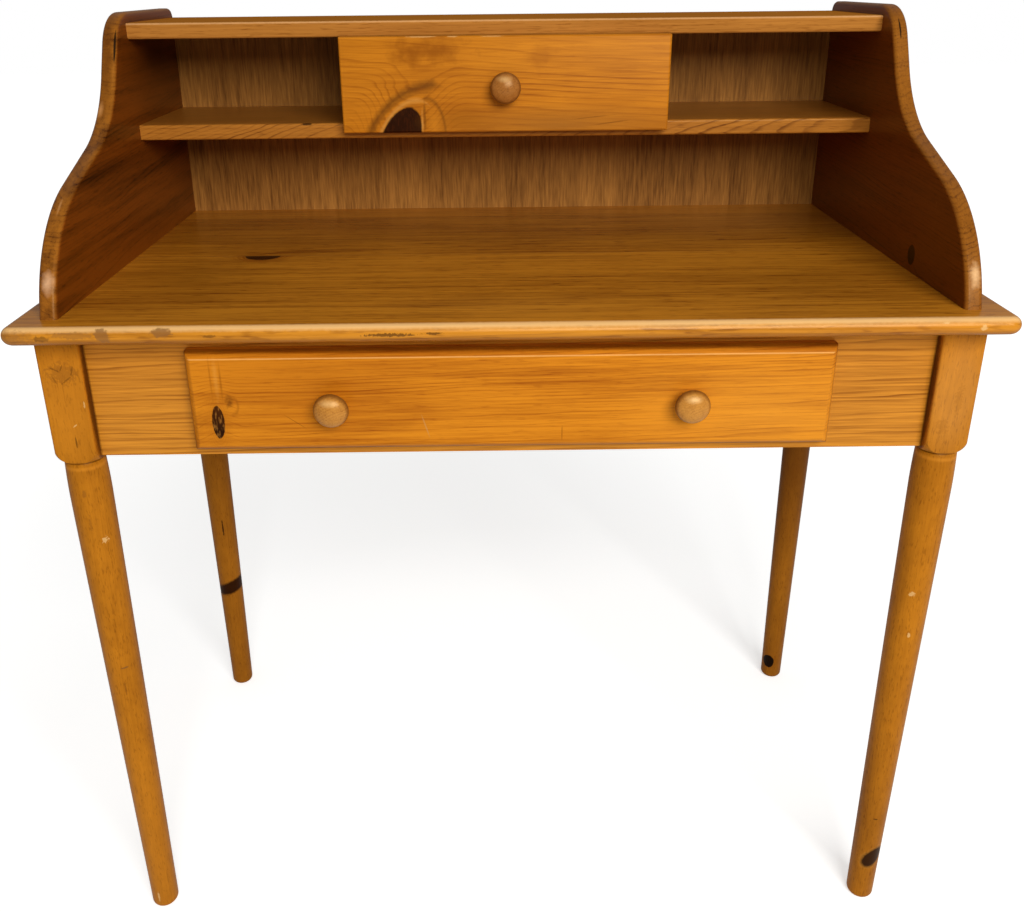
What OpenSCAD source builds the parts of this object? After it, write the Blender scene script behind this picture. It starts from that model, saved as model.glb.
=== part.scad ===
// Pine writing desk with a scalloped gallery: four turned legs, an apron frame with one wide
// drawer, and a raised back unit with two pigeonholes and one small drawer.
// Millimetres, +Z up. The origin is on the floor under the middle of the desktop, and the
// front of the desk looks along -Y.

/* [Desktop] */
// Width of the desktop
top_w = 920; // [860:1:1100]
// Depth of the desktop
top_d = 509; // [469:1:609]
// Height of the writing surface above the floor
top_h = 757; // [700:1:820]
// Thickness of the desktop, whose front and side edges are half round
top_t = 17; // [16:0.5:22]
// Radius of the front corners, seen from above
top_corner_r = 12; // [11.5:0.5:30]

/* [Legs] */
// Side of the square block at the head of a leg
leg_s = 41; // [38:0.5:50]
// Rounding of the block's upright arrises
leg_arris_r = 2.5; // [1:0.5:5]
// Desktop overhang past the legs at the sides
leg_side_in = 13.5; // [10:0.5:40]
// Desktop overhang past the front legs
leg_front_in = 37.5; // [24:0.5:50]
// Desktop overhang past the rear legs
leg_rear_in = 14.5; // [10:0.5:40]
// Length of the square block, measured to the turned groove under it
leg_block_h = 135; // [133:1:160]
// Width of the turned shoulder that cuts the block's lower corners
pommel_w = 10.5; // [8:0.5:14]
// Height of the turned shoulder, whose profile is a quarter of an ellipse
pommel_h = 18; // [8:0.5:22]
// Diameter at the bottom of the groove
neck_d = 36; // [32:0.5:38]
// Width of the groove, up to the collar
groove_w = 3; // [1:0.5:5]
// Diameter of the collar, where the turned part starts
collar_d = 39.2; // [38.5:0.1:41]
// Greatest diameter of the turned part
belly_d = 41; // [41:0.5:44]
// How far the greatest diameter lies below the collar
belly_drop = 38; // [20:1:120]
// Diameter of the foot
foot_d = 30; // [22:0.5:38]
// Rounding of the foot
foot_r = 7; // [2:0.5:10]

/* [Aprons] */
// Height of the aprons
apron_h = 131; // [128:0.5:132]
// Thickness of the aprons
apron_t = 18; // [15:0.5:22]
// Setback of the aprons behind the outer faces of the legs
apron_in = 12; // [6:0.5:15]

/* [Back unit] */
// Height of the scalloped sides above the desktop
side_h = 255; // [232:1:330]
// Thickness of the sides, the shelf and the cap board
board_t = 17; // [15:0.5:21]
// Distance from the desktop's end to the outer face of a side
side_in = 28; // [20:1:60]
// Distance from the desktop's front edge to the foot of a side
side_foot_in = 27; // [13:0.5:60]
// Distance from the desktop's rear edge to the rear edge of a side
side_rear_in = 7; // [2:0.5:20]
// Height of the shelf's upper face above the desktop
shelf_h = 135; // [120:1:150]
// Depth of the shelf, up to the back panel
shelf_d = 175; // [165:1:190]
// Depth of the cap board, up to the back panel
cap_d = 173.5; // [165:0.5:190]
// Drop of the cap board's upper face below the tops of the sides
cap_drop = 11; // [6:0.5:20]
// Rounding of the front arrises of the shelf and the cap board
board_arris_r = 2.5; // [1:0.5:6]
// Thickness of the plywood back panel
panel_t = 5; // [4:0.5:8]
// Distance from the sides' rear edges to the panel's rear face
panel_in = 1.5; // [1:0.5:5]
// How far the panel reaches into the rebate of each side
rebate_w = 8; // [4:0.5:11]

/* [Scalloped side] */
// Lean of the edge from upright at its foot, in degrees
scallop_foot_lean = 14.5; // [6:0.5:22]
// Radius of the lower, outward curve
scallop_low_r = 151.5; // [120:0.5:180]
// Rise of the straight middle stretch above level, in degrees
scallop_slope = 19; // [12:0.5:28]
// Length of the straight middle stretch
scallop_slope_l = 73; // [20:1:150]
// Radius of the upper, inward curve
scallop_high_r = 136; // [100:1:160]
// Lean of the upper straight stretch from upright, in degrees
scallop_lean = 28.5; // [22:0.5:36]
// Radius of the curve that runs into the top
scallop_crown_r = 56; // [20:1:75]
// Radius of the rear top corner
side_heel_r = 12; // [5:0.5:30]
// Rounding of the arrises round the edge
side_arris_r = 3; // [1:0.5:7]

/* [Main drawer] */
// Distance from a front leg to the end of the main drawer's front
drawer_in = 98; // [75:0.25:165]
// Height of the main drawer's front
drawer_h = 102; // [90:0.5:106]
// Gap between the desktop and the top edge of the main drawer's front
drawer_drop = 18; // [15:0.5:20]
// Gap between the main drawer's box and the rear apron
drawer_rear_gap = 25; // [8:1:85]
// How far the front laps over the opening in the apron
drawer_lap = 9; // [7:0.5:14]
// Width of the front's bevelled border
bevel_w = 7; // [2:0.5:9]
// Depth of the front's bevelled border
bevel_d = 5; // [1:0.5:8]

/* [Small drawer] */
// Width of a pigeonhole, from a side to the end of the small drawer's front
small_in = 233.5; // [185:0.5:285]
// How far the small front hangs below the shelf's upper face
small_drop = 9; // [4:0.5:15]
// How far the small front laps over the cap board
small_rise = 1; // [0.5:0.5:12]
// Gap between the small drawer's box and the back panel
small_rear_gap = 15; // [12:1:65]
// Size of the eased arris round the small front
small_bevel = 2; // [0.5:0.5:4]
// Thickness of the dividers beside the small drawer
divider_t = 12; // [9:0.5:18]
// How far the small front covers each divider's outer face
divider_in = 3.5; // [1:0.5:12]

/* [Drawer boxes] */
// Thickness of both drawer fronts
front_t = 18; // [15:0.5:22]
// Thickness of the drawer sides and backs
box_t = 12; // [10:0.5:15]
// Thickness of the drawer bottoms
bottom_t = 4; // [3:0.5:6]
// Height of the bottom's groove above the lower edge of the sides
groove_up = 8; // [5:0.5:14]
// Depth of the groove that holds the bottom
groove_d = 5; // [3:0.5:6]

/* [Runners] */
// Width and height of the ledge that a drawer side runs on
ledge = 18; // [14:0.5:18]
// Thickness of the guide beside the drawer side
guide_t = 18; // [10:0.5:24]
// Height of the guide above the ledge
guide_h = 30; // [15:1:60]

/* [Knobs] */
// Diameter of a knob
knob_d = 33.5; // [26:0.5:40]
// How far a knob stands out from its drawer front
knob_l = 25; // [20:0.5:32]
// Diameter of a knob's stem where it is thinnest
knob_neck_d = 14; // [10:0.5:18]
// Diameter of a knob's foot on the drawer front
knob_foot_d = 19; // [18.5:0.5:24]
// Height of a knob's foot ring
knob_foot_h = 1.5; // [1:0.5:2.5]
// Height above the drawer front at which the stem becomes thinnest
knob_stem_h = 6.5; // [5.5:0.5:7.5]
// Height at which the head starts to flare out of the stem
knob_flare_h = 8; // [7:0.5:11]
// Height of a knob's rim, where it is widest
knob_rim_h = 14.5; // [12.5:0.5:17]
// Height of the eased edge under the rim
knob_rim_t = 1.5; // [0.5:0.5:3]
// Width of the eased edge under the rim
knob_rim_in = 1; // [0.5:0.5:2]
// Distance from the end of the main drawer's front to the middle of a knob
knob_in = 137.75; // [60:0.25:200]
// Drop of the knobs below the middle of a front
knob_drop = 2.5; // [0:0.5:10]

/* [Dowels and fasteners] */
// Diameter of the dowels in the frame and the back unit
dowel_d = 8; // [6:0.5:9]
// Length of the dowels in the frame and the back unit
dowel_l = 26; // [20:1:28]
// Diameter of the dowels in the drawer boxes
pin_dowel_d = 5; // [4:0.5:6]
// Length of the dowels in the drawer boxes
pin_dowel_l = 20; // [14:1:22]
// Thickness of a corner block
block_t = 24; // [18:0.5:34]
// Height of a corner block
block_h = 40; // [30:0.5:60]
// Gap between a leg's inner arris and its corner block
block_gap = 6; // [2:0.5:12]
// Diameter of the hanger bolts
bolt_d = 8; // [6:0.5:10]
// Length of a hanger bolt's thread in its leg
bolt_in_leg = 22; // [15:0.5:24]
// Width across the flats of a hanger bolt's nut
nut_af = 13; // [11:0.5:17]
// Thickness of a nut
nut_t = 6.5; // [4:0.5:8]
// Diameter of a washer
washer_d = 20; // [18:0.5:28]
// Thickness of a washer
washer_t = 1.6; // [1:0.1:3]
// How far a hanger bolt stands out of its nut
bolt_proud = 2; // [0.5:0.5:6]
// Diameter of the wood screws
screw_d = 4; // [3:0.5:5]
// Diameter of the wood screws' heads
screw_head_d = 8; // [7:0.5:10]
// How far a block screw bites into the desktop
screw_bite = 12; // [8:0.5:13]
// How far a side's screw bites into the side
side_screw_bite = 32; // [20:1:60]
// Diameter of the knobs' screws
knob_screw_d = 3; // [2.5:0.5:4]
// How far a knob's screw bites into the knob
knob_bite = 15; // [10:0.5:18]
// Diameter of the shanks of the pins in the back panel
nail_d = 1.6; // [1.2:0.1:2.4]
// Length of the pins in the back panel
nail_l = 18; // [12:0.5:25]

/* [Clearances] */
// Gap between a drawer and what it runs on or closes against
slide_gap = 0.3; // [0.2:0.1:0.6]
// Gap at each side of a drawer box
side_gap = 1.5; // [0.5:0.5:3]
// Gap above a drawer box
lift_gap = 3; // [2:0.5:5]
// Play round a dowel, a screw or a pin, and round a panel in its groove
fit_play = 0.1; // [0.05:0.05:0.2]
// Play round a hanger bolt in its corner block
bolt_play = 0.4; // [0.2:0.1:1]

/* [Hidden] */
$fn = 48;
arc_steps = 6;      // straight steps in a quarter of a small rounding
scallop_steps = 12; // straight steps in each curve of the scalloped edge
arris_steps = 4;    // steps in the rounding of the sides' arrises

// Colours
desk_wood = [0.66, 0.40, 0.14];
front_wood = [0.84, 0.54, 0.17];
gallery_wood = [0.58, 0.34, 0.12];
knob_wood = [0.74, 0.53, 0.31];
inner_wood = [0.80, 0.66, 0.44];
ply_wood = [0.55, 0.36, 0.16];
steel = [0.62, 0.62, 0.60];

// Levels of the desktop and the frame
top_z = top_h - top_t;
half_w = top_w / 2;
front_y = -top_d / 2;
rear_y = top_d / 2;
nose_r = top_t / 2;
leg_x = half_w - leg_side_in - leg_s / 2;
leg_front_y = front_y + leg_front_in + leg_s / 2;
leg_rear_y = rear_y - leg_rear_in - leg_s / 2;
neck_z = top_z - leg_block_h;
collar_z = neck_z - groove_w;
belly_z = collar_z - belly_drop;
apron_z = top_z - apron_h;

// Middle of an apron's thickness and its inner face, from the middle of a leg
apron_mid = apron_in + apron_t / 2 - leg_s / 2;
apron_back = apron_in + apron_t - leg_s / 2;
front_apron_y = leg_front_y - leg_s / 2 + apron_in;
rear_apron_y = leg_rear_y + leg_s / 2 - apron_in;
side_apron_x = leg_x + leg_s / 2 - apron_in;
frame_x = leg_x - leg_s / 2;
frame_front_y = leg_front_y + leg_s / 2;
frame_rear_y = leg_rear_y - leg_s / 2;
end_dowel_h = [0.2, 0.62];   // heights of the dowels in the front and rear aprons
side_dowel_h = [0.12, 0.54]; // heights of the dowels in the side aprons
leg_dowel_in = dowel_l / 2;

// Corner blocks and hanger bolts, along the diagonal from the middle of a leg
corner_diag = leg_s / sqrt(2);
block_diag = corner_diag + block_gap;
block_mid = block_diag + block_t / 2;
block_z = top_z - block_h;
bolt_z = top_z - block_h / 2;
bolt_start = corner_diag - bolt_in_leg;
nut_diag = block_diag + block_t + washer_t;
bolt_end = nut_diag + nut_t + bolt_proud;
block_screw_at = 0.72; // place of a block's screws, as a share of half its width
block_screw_off = (block_mid - apron_back * sqrt(2)) * block_screw_at;
head_t = screw_head_d / 2 - screw_d / 2;

// Back unit
side_x = half_w - side_in;
inner_x = side_x - board_t;
side_mid_x = side_x - board_t / 2;
foot_y = front_y + side_foot_in;
heel_y = rear_y - side_rear_in;
panel_rear_y = heel_y - panel_in;
panel_y = panel_rear_y - panel_t;
side_top_z = top_h + side_h;
shelf_z = top_h + shelf_h - board_t;
cap_z = side_top_z - cap_drop - board_t;
shelf_front_y = panel_y - shelf_d;
cap_front_y = panel_y - cap_d;
panel_x = inner_x + rebate_w - fit_play;
board_dowel_in = board_t * 0.55; // part of a board's dowel that is in the side
side_screw_y = [for (t = [0.23, 0.5, 0.75]) foot_y + (heel_y - foot_y) * t];

// The scalloped edge as a chain from the foot upwards, in the plane of the side.
// Each curve starts where the last one ends, along the same direction.
lean_turn = 90 - scallop_foot_lean;
upper_turn = 90 - scallop_lean;
low_c = [foot_y + scallop_low_r * sin(lean_turn), -scallop_low_r * cos(lean_turn)];
low_end = low_c + scallop_low_r * [-sin(scallop_slope), cos(scallop_slope)];
slope_end = low_end + scallop_slope_l * [cos(scallop_slope), sin(scallop_slope)];
high_c = slope_end + scallop_high_r * [-sin(scallop_slope), cos(scallop_slope)];
high_end = high_c + scallop_high_r * [sin(upper_turn), -cos(upper_turn)];
crown_z = side_h - scallop_crown_r;
crown_start_z = crown_z + scallop_crown_r * cos(upper_turn);
lean_run = (crown_start_z - high_end[1]) / tan(upper_turn);
crown_c = [high_end[0] + lean_run + scallop_crown_r * sin(upper_turn), crown_z];

// Main drawer
drawer_w = 2 * (frame_x - drawer_in);
drawer_top_z = top_z - drawer_drop;
drawer_z = drawer_top_z - drawer_h;
opening_x = drawer_w / 2 - drawer_lap;
opening_z = drawer_z + drawer_lap;
opening_top_z = drawer_top_z - drawer_lap;
box_w = 2 * (opening_x - side_gap);
box_z = opening_z + slide_gap;
box_h = opening_top_z - lift_gap - box_z;
drawer_back_y = front_apron_y - slide_gap;
drawer_l = rear_apron_y - apron_t - drawer_rear_gap - drawer_back_y;
runner_y = front_apron_y + apron_t;
runner_end_y = rear_apron_y - apron_t;
knob_x = drawer_w / 2 - knob_in;
knob_z = drawer_z + drawer_h / 2 - knob_drop;

// Small drawer
small_w = 2 * (inner_x - small_in);
shelf_top_z = top_h + shelf_h;
divider_x = small_w / 2 - divider_in;
small_box_w = 2 * (divider_x - divider_t - side_gap);
small_z = shelf_top_z - small_drop;
small_h = cap_z + small_rise - small_z;
small_box_z = shelf_top_z + slide_gap;
small_box_h = cap_z - lift_gap - small_box_z;
small_back_y = min(shelf_front_y, cap_front_y) - slide_gap;
small_l = panel_y - small_rear_gap - small_back_y;
small_knob_z = small_z + small_h / 2 - knob_drop;
divider_dowel_y = [for (t = [0.25, 0.75]) panel_y - shelf_d * t];
board_dowel_y = [for (t = [0.18, 0.82]) panel_y - shelf_d * t];

// Pins of the back panel
pins_a_side = 3; // pins in one row, to each side of the middle one
pin_pitch = inner_x * 0.9 / pins_a_side;
pin_head_d = 2.5 * nail_d;
pin_head_t = nail_d / 2;

// Dowels of the drawer boxes
box_dowel_at = [0.3, 0.75]; // heights, as shares of the room above the bottom
front_dowel_in = 0.45 * pin_dowel_l; // part of a dowel that is in the drawer's front
side_dowel_wall = 0.3 * box_t; // wood left between a dowel of the back and the box's outside

// Points of an arc about c, from angle a to angle b in n steps
function arc(c, r, a, b, n) =
  [for (i = [0:n]) c + r * [cos(a + (b - a) * i / n), sin(a + (b - a) * i / n)]];

// A plain block between two corners
module block(lo, hi) {
  translate(lo) cube(hi - lo);
}

// A board that runs along X between -x and x, with the given section in Y and Z
module along_x(x, section) {
  translate([-x, 0, 0]) rotate([90, 0, 90]) linear_extrude(2 * x) polygon(section);
}

// A round bar of diameter d from point p, along direction dir, l long
module bar(p, dir, d, l) {
  translate(p) rotate([0, acos(dir[2] / norm(dir)), atan2(dir[1], dir[0])])
    cylinder(d = d, h = l);
}

// The same shape on the left and on the right
module both_sides() {
  children();
  mirror([1, 0, 0]) children();
}

// Desktop

// Section of the half-round edge, outwards from the line through the corner centres
module nose_section() {
  square([top_corner_r - nose_r, top_t]);
  translate([top_corner_r - nose_r, nose_r]) intersection() {
    circle(nose_r);
    translate([0, -nose_r]) square([nose_r, top_t]);
  }
}

module desktop() {
  core_x = half_w - top_corner_r;
  core_y = front_y + top_corner_r;
  color(desk_wood) difference() {
    union() {
      block([-core_x, core_y, top_z], [core_x, rear_y, top_h]);
      translate([core_x, core_y, top_z]) rotate([90, 0, -90])
        linear_extrude(2 * core_x) nose_section();
      both_sides() {
        translate([core_x, rear_y, top_z]) rotate([90, 0, 0])
          linear_extrude(rear_y - core_y) nose_section();
        translate([core_x, core_y, top_z]) rotate([0, 0, -90])
          rotate_extrude(angle = 90) nose_section();
      }
    }
    each_corner() at_block_screws()
      translate([0, 0, top_z]) cylinder(d = screw_d + 2 * fit_play, h = screw_bite + fit_play);
    both_sides() for (y = side_screw_y) translate([side_mid_x, y, top_z]) {
      cylinder(d = screw_d + 2 * fit_play, h = top_t);
      screw_head(fit_play);
    }
  }
}

// Legs

// The corner of the frame where one leg stands, with X and Y pointing into the desk
module at_corner(side, y, back) {
  translate([side * leg_x, y, 0]) mirror([side > 0 ? 1 : 0, 0, 0])
    mirror([0, back ? 1 : 0, 0]) children();
}

module each_corner() {
  for (side = [-1, 1]) {
    at_corner(side, leg_front_y, false) children();
    at_corner(side, leg_rear_y, true) children();
  }
}

// Turned half-section of the leg below the groove: rounded foot, straight taper to the
// belly, then a slow curve in to the collar
function turned_section() = concat(
  [[0, 0]],
  arc([foot_d / 2 - foot_r, foot_r], foot_r, -90, 0, arc_steps),
  [for (i = [0:arc_steps]) let (t = i / arc_steps)
    [belly_d / 2 - (belly_d - collar_d) / 2 * t * t, belly_z + belly_drop * t]],
  [[neck_d / 2, neck_z], [0, neck_z]]);

// Half-section that the block is turned to at its lower end
function pommel_section() = concat(
  [[0, neck_z]],
  [for (p = arc([0, 0], 1, -90, 0, arc_steps))
    [neck_d / 2 + pommel_w * p[0], neck_z + pommel_h * (1 + p[1])]],
  [[leg_s, neck_z + pommel_h], [leg_s, top_z], [0, top_z]]);

// Square with rounded corners, centred
function rounded_square(s, r) = concat(
  arc([s / 2 - r, s / 2 - r], r, 0, 90, arc_steps),
  arc([r - s / 2, s / 2 - r], r, 90, 180, arc_steps),
  arc([r - s / 2, r - s / 2], r, 180, 270, arc_steps),
  arc([s / 2 - r, r - s / 2], r, 270, 360, arc_steps));

module leg() {
  bore_d = dowel_d + 2 * fit_play;
  bore_l = leg_dowel_in + fit_play;
  difference() {
    union() {
      intersection() {
        translate([0, 0, neck_z]) linear_extrude(leg_block_h)
          polygon(rounded_square(leg_s, leg_arris_r));
        rotate_extrude() polygon(pommel_section());
      }
      rotate_extrude() polygon(turned_section());
    }
    for (h = end_dowel_h)
      bar([leg_s / 2, apron_mid, apron_z + h * apron_h], [-1, 0, 0], bore_d, bore_l);
    for (h = side_dowel_h)
      bar([apron_mid, leg_s / 2, apron_z + h * apron_h], [0, -1, 0], bore_d, bore_l);
    rotate([0, 0, 45]) bar([bolt_start - fit_play, 0, bolt_z], [1, 0, 0],
      bolt_d + 2 * fit_play, bolt_in_leg + leg_arris_r);
  }
}

module leg_front_left() { color(desk_wood) at_corner(-1, leg_front_y, false) leg(); }
module leg_front_right() { color(desk_wood) at_corner(1, leg_front_y, false) leg(); }
module leg_rear_left() { color(desk_wood) at_corner(-1, leg_rear_y, true) leg(); }
module leg_rear_right() { color(desk_wood) at_corner(1, leg_rear_y, true) leg(); }

// Aprons and their dowels

// Dowels of the front and rear aprons at one corner, or their bores when play is given
module end_dowels(play) {
  for (h = end_dowel_h)
    bar([leg_s / 2 - leg_dowel_in - play, apron_mid, apron_z + h * apron_h], [1, 0, 0],
      dowel_d + 2 * play, dowel_l + 2 * play);
}

module side_dowels(play) {
  for (h = side_dowel_h)
    bar([apron_mid, leg_s / 2 - leg_dowel_in - play, apron_z + h * apron_h], [0, 1, 0],
      dowel_d + 2 * play, dowel_l + 2 * play);
}

module apron_dowels() { color(inner_wood) each_corner() { end_dowels(0); side_dowels(0); } }

module front_apron() {
  color(desk_wood) difference() {
    block([-frame_x, front_apron_y, apron_z], [frame_x, runner_y, top_z]);
    block([-opening_x, front_apron_y - 1, opening_z], [opening_x, runner_y + 1, opening_top_z]);
    each_corner() end_dowels(fit_play);
  }
}

module rear_apron() {
  color(desk_wood) difference() {
    block([-frame_x, runner_end_y, apron_z], [frame_x, rear_apron_y, top_z]);
    each_corner() end_dowels(fit_play);
  }
}

module side_apron() {
  difference() {
    block([side_apron_x - apron_t, frame_front_y, apron_z], [side_apron_x, frame_rear_y, top_z]);
    each_corner() side_dowels(fit_play);
  }
}

module right_apron() { color(desk_wood) side_apron(); }
module left_apron() { color(desk_wood) mirror([1, 0, 0]) side_apron(); }

// Corner blocks, their bolts and their screws

// The two screw places on a corner block
module at_block_screws() {
  rotate([0, 0, 45]) for (off = [-1, 1])
    translate([block_mid, off * block_screw_off, 0]) children();
}

module corner_block() {
  near = block_diag * sqrt(2) - apron_back;
  far = (block_diag + block_t) * sqrt(2) - apron_back;
  difference() {
    translate([0, 0, block_z]) linear_extrude(block_h)
      polygon([[near, apron_back], [far, apron_back], [apron_back, far], [apron_back, near]]);
    rotate([0, 0, 45]) bar([block_diag - 1, 0, bolt_z], [1, 0, 0],
      bolt_d + 2 * bolt_play, block_t + 2);
    at_block_screws() translate([0, 0, block_z - 1])
      cylinder(d = screw_d + 2 * fit_play, h = block_h + 2);
  }
}

module corner_blocks() { color(inner_wood) each_corner() corner_block(); }

module hanger_bolts() {
  color(steel) each_corner() rotate([0, 0, 45])
    bar([bolt_start, 0, bolt_z], [1, 0, 0], bolt_d, bolt_end - bolt_start);
}

module bolt_washers() {
  color(steel) each_corner() rotate([0, 0, 45]) translate([nut_diag - washer_t, 0, bolt_z])
    rotate([0, 90, 0]) difference() {
      cylinder(d = washer_d, h = washer_t);
      translate([0, 0, -1]) cylinder(d = bolt_d + 2 * fit_play, h = washer_t + 2);
    }
}

module bolt_nuts() {
  color(steel) each_corner() rotate([0, 0, 45]) translate([nut_diag, 0, bolt_z])
    rotate([0, 90, 0]) difference() {
      cylinder(d = nut_af / cos(30), h = nut_t, $fn = 6);
      translate([0, 0, -1]) cylinder(d = bolt_d + 2 * fit_play, h = nut_t + 2);
    }
}

module block_screws() {
  color(steel) each_corner() at_block_screws() translate([0, 0, block_z]) {
    translate([0, 0, -head_t]) cylinder(d = screw_head_d, h = head_t);
    cylinder(d = screw_d, h = block_h + screw_bite);
  }
}

// Runners and tilt rails of the main drawer

module drawer_runner() {
  guide_x = opening_x;
  ledge_x = box_w / 2 - ledge;
  block([ledge_x, runner_y, opening_z - ledge], [guide_x + guide_t, runner_end_y, opening_z]);
  block([guide_x, runner_y, opening_z], [guide_x + guide_t, runner_end_y, opening_z + guide_h]);
}

module drawer_runner_right() { color(inner_wood) drawer_runner(); }
module drawer_runner_left() { color(inner_wood) mirror([1, 0, 0]) drawer_runner(); }

module tilt_rail() {
  block([box_w / 2 - ledge, runner_y, opening_top_z], [opening_x, runner_end_y, top_z]);
}

module tilt_rail_right() { color(inner_wood) tilt_rail(); }
module tilt_rail_left() { color(inner_wood) mirror([1, 0, 0]) tilt_rail(); }

// Gallery

// Points of the side's edge along a curve, each with the direction that leads into the board
function edge(c, r, a, b, inward) = [for (p = arc(c, r, a, b, scallop_steps))
  [p, inward * (c - p) / r]];

// The edge from the front foot round to the rear foot. The way in is level at both feet, so
// that the rounded arris ends flat on the desktop, and as long as its first step asks for.
function side_edge() =
  let (half_step = (90 - scallop_foot_lean - scallop_slope) / scallop_steps / 2,
    low = edge(low_c, scallop_low_r, 180 - scallop_foot_lean, 90 + scallop_slope, 1))
  concat(
    [[[foot_y, 0], [cos(half_step) / cos(scallop_foot_lean + half_step), 0]]],
    [for (i = [1:scallop_steps]) low[i]],
    edge(high_c, scallop_high_r, scallop_slope - 90, -scallop_lean, -1),
    edge(crown_c, scallop_crown_r, 180 - scallop_lean, 90, 1),
    edge([heel_y - side_heel_r, side_h - side_heel_r], side_heel_r, 90, 0, 1),
    [[[heel_y, 0], [-1, 0]]]);

// Rings round the board from its left face to its right one: place across it, and how far the
// ring is drawn in from the edge by the rounded arris
function side_rings() = let (flat = board_t / 2 - side_arris_r) concat(
  [for (k = [0:arris_steps]) let (a = 90 * k / arris_steps)
    [-flat - side_arris_r * cos(a), side_arris_r * (1 - sin(a))]],
  [for (k = [arris_steps:-1:0]) let (a = 90 * k / arris_steps)
    [flat + side_arris_r * cos(a), side_arris_r * (1 - sin(a))]]);

// A side as one skin over its rings
module side_board() {
  e = side_edge();
  rings = side_rings();
  n = len(e);
  m = len(rings);
  translate([0, 0, top_h]) polyhedron(
    points = [for (ring = rings, q = e)
      [ring[0], q[0][0] + ring[1] * q[1][0], q[0][1] + ring[1] * q[1][1]]],
    faces = concat(
      [[for (i = [n - 1:-1:0]) i]],
      [for (j = [0:m - 2], i = [0:n - 1])
        [j * n + i, j * n + (i + 1) % n, (j + 1) * n + (i + 1) % n, (j + 1) * n + i]],
      [[for (i = [0:n - 1]) (m - 1) * n + i]]));
}

module gallery_side() {
  difference() {
    translate([side_mid_x, 0, 0]) side_board();
    block([inner_x - 1, panel_y - fit_play, top_h - 1],
      [inner_x + rebate_w, heel_y + 1, cap_z + board_t]);
    for (y = side_screw_y) translate([side_mid_x, y, top_h - 1])
      cylinder(d = screw_d + 2 * fit_play, h = side_screw_bite + 1 + fit_play);
    board_dowels(fit_play);
  }
}

module gallery_side_right() { color(gallery_wood) gallery_side(); }
module gallery_side_left() { color(gallery_wood) mirror([1, 0, 0]) gallery_side(); }

// Dowels between a side and the ends of the shelf and the cap board
module board_dowels(play) {
  for (z = [shelf_z, cap_z], y = board_dowel_y)
    bar([inner_x + board_dowel_in + play, y, z + board_t / 2], [-1, 0, 0],
      dowel_d + 2 * play, dowel_l + 2 * play);
}

// Dowels between a divider and the boards above and below it
module divider_dowels(play) {
  for (z = [shelf_top_z, cap_z], y = divider_dowel_y)
    bar([divider_x - divider_t / 2, y, z - pin_dowel_l / 2 - play], [0, 0, 1],
      pin_dowel_d + 2 * play, pin_dowel_l + 2 * play);
}

module gallery_dowels() {
  color(inner_wood) both_sides() { board_dowels(0); divider_dowels(0); }
}

// Section of a board with its two front arrises rounded
function board_section(y, z) = concat(
  arc([y + board_arris_r, z + board_arris_r], board_arris_r, 270, 180, arc_steps),
  arc([y + board_arris_r, z + board_t - board_arris_r], board_arris_r, 180, 90, arc_steps),
  [[panel_y, z + board_t], [panel_y, z]]);

module gallery_board(y, z) {
  difference() {
    along_x(inner_x, board_section(y, z));
    both_sides() { board_dowels(fit_play); divider_dowels(fit_play); }
    pins(z + board_t / 2, fit_play);
  }
}

module gallery_shelf() { color(gallery_wood) gallery_board(shelf_front_y, shelf_z); }
module gallery_cap() { color(gallery_wood) gallery_board(cap_front_y, cap_z); }

module divider() {
  difference() {
    block([divider_x - divider_t, small_back_y + slide_gap, shelf_top_z],
      [divider_x, panel_y, cap_z]);
    divider_dowels(fit_play);
  }
}

module divider_right() { color(gallery_wood) divider(); }
module divider_left() { color(gallery_wood) mirror([1, 0, 0]) divider(); }

// Pins through the back panel in one row, or their bores when play is given
module pins(z, play) {
  for (i = [-pins_a_side:pins_a_side]) translate([i * pin_pitch, panel_rear_y + play, z])
    rotate([90, 0, 0]) cylinder(d = nail_d + 2 * play, h = nail_l + 2 * play, $fn = 16);
}

module gallery_back() {
  color(ply_wood) difference() {
    block([-panel_x, panel_y, top_h], [panel_x, panel_rear_y, cap_z + board_t]);
    for (z = [shelf_z, cap_z]) pins(z + board_t / 2, fit_play);
  }
}

module back_pins() {
  color(steel) for (z = [shelf_z, cap_z]) {
    pins(z + board_t / 2, 0);
    for (i = [-pins_a_side:pins_a_side]) translate([i * pin_pitch, panel_rear_y, z + board_t / 2])
      rotate([-90, 0, 0]) cylinder(d = pin_head_d, h = pin_head_t, $fn = 16);
  }
}

// Countersunk head of a side's screw, flush with the desktop's lower face
module screw_head(play) {
  cylinder(d1 = screw_head_d + 2 * play, d2 = screw_d + 2 * play, h = head_t);
}

module side_screws() {
  color(steel) both_sides() for (y = side_screw_y) translate([side_mid_x, y, top_z]) {
    screw_head(0);
    cylinder(d = screw_d, h = top_t + side_screw_bite);
  }
}

// Drawers, which share their construction

// A front with its back face at y, bevelled w wide and d deep all round its face
module bevelled_front(width, height, y, z, w, d) {
  x = width / 2;
  face = y - front_t;
  intersection() {
    translate([0, 0, z]) linear_extrude(height) polygon([[-x, y], [-x, face + d],
      [w - x, face], [x - w, face], [x, face + d], [x, y]]);
    along_x(x, [[y, z], [face + d, z], [face, z + w], [face, z + height - w],
      [face + d, z + height], [y, z + height]]);
  }
}

// Groove for the bottom, as wide as the box allows, from the front to the rear end
module bottom_groove(w, y, l, z) {
  x = w / 2 - box_t + groove_d;
  block([-x, y - groove_d, z + groove_up], [x, y + l + 1, z + groove_up + bottom_t + 2 * fit_play]);
}

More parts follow.
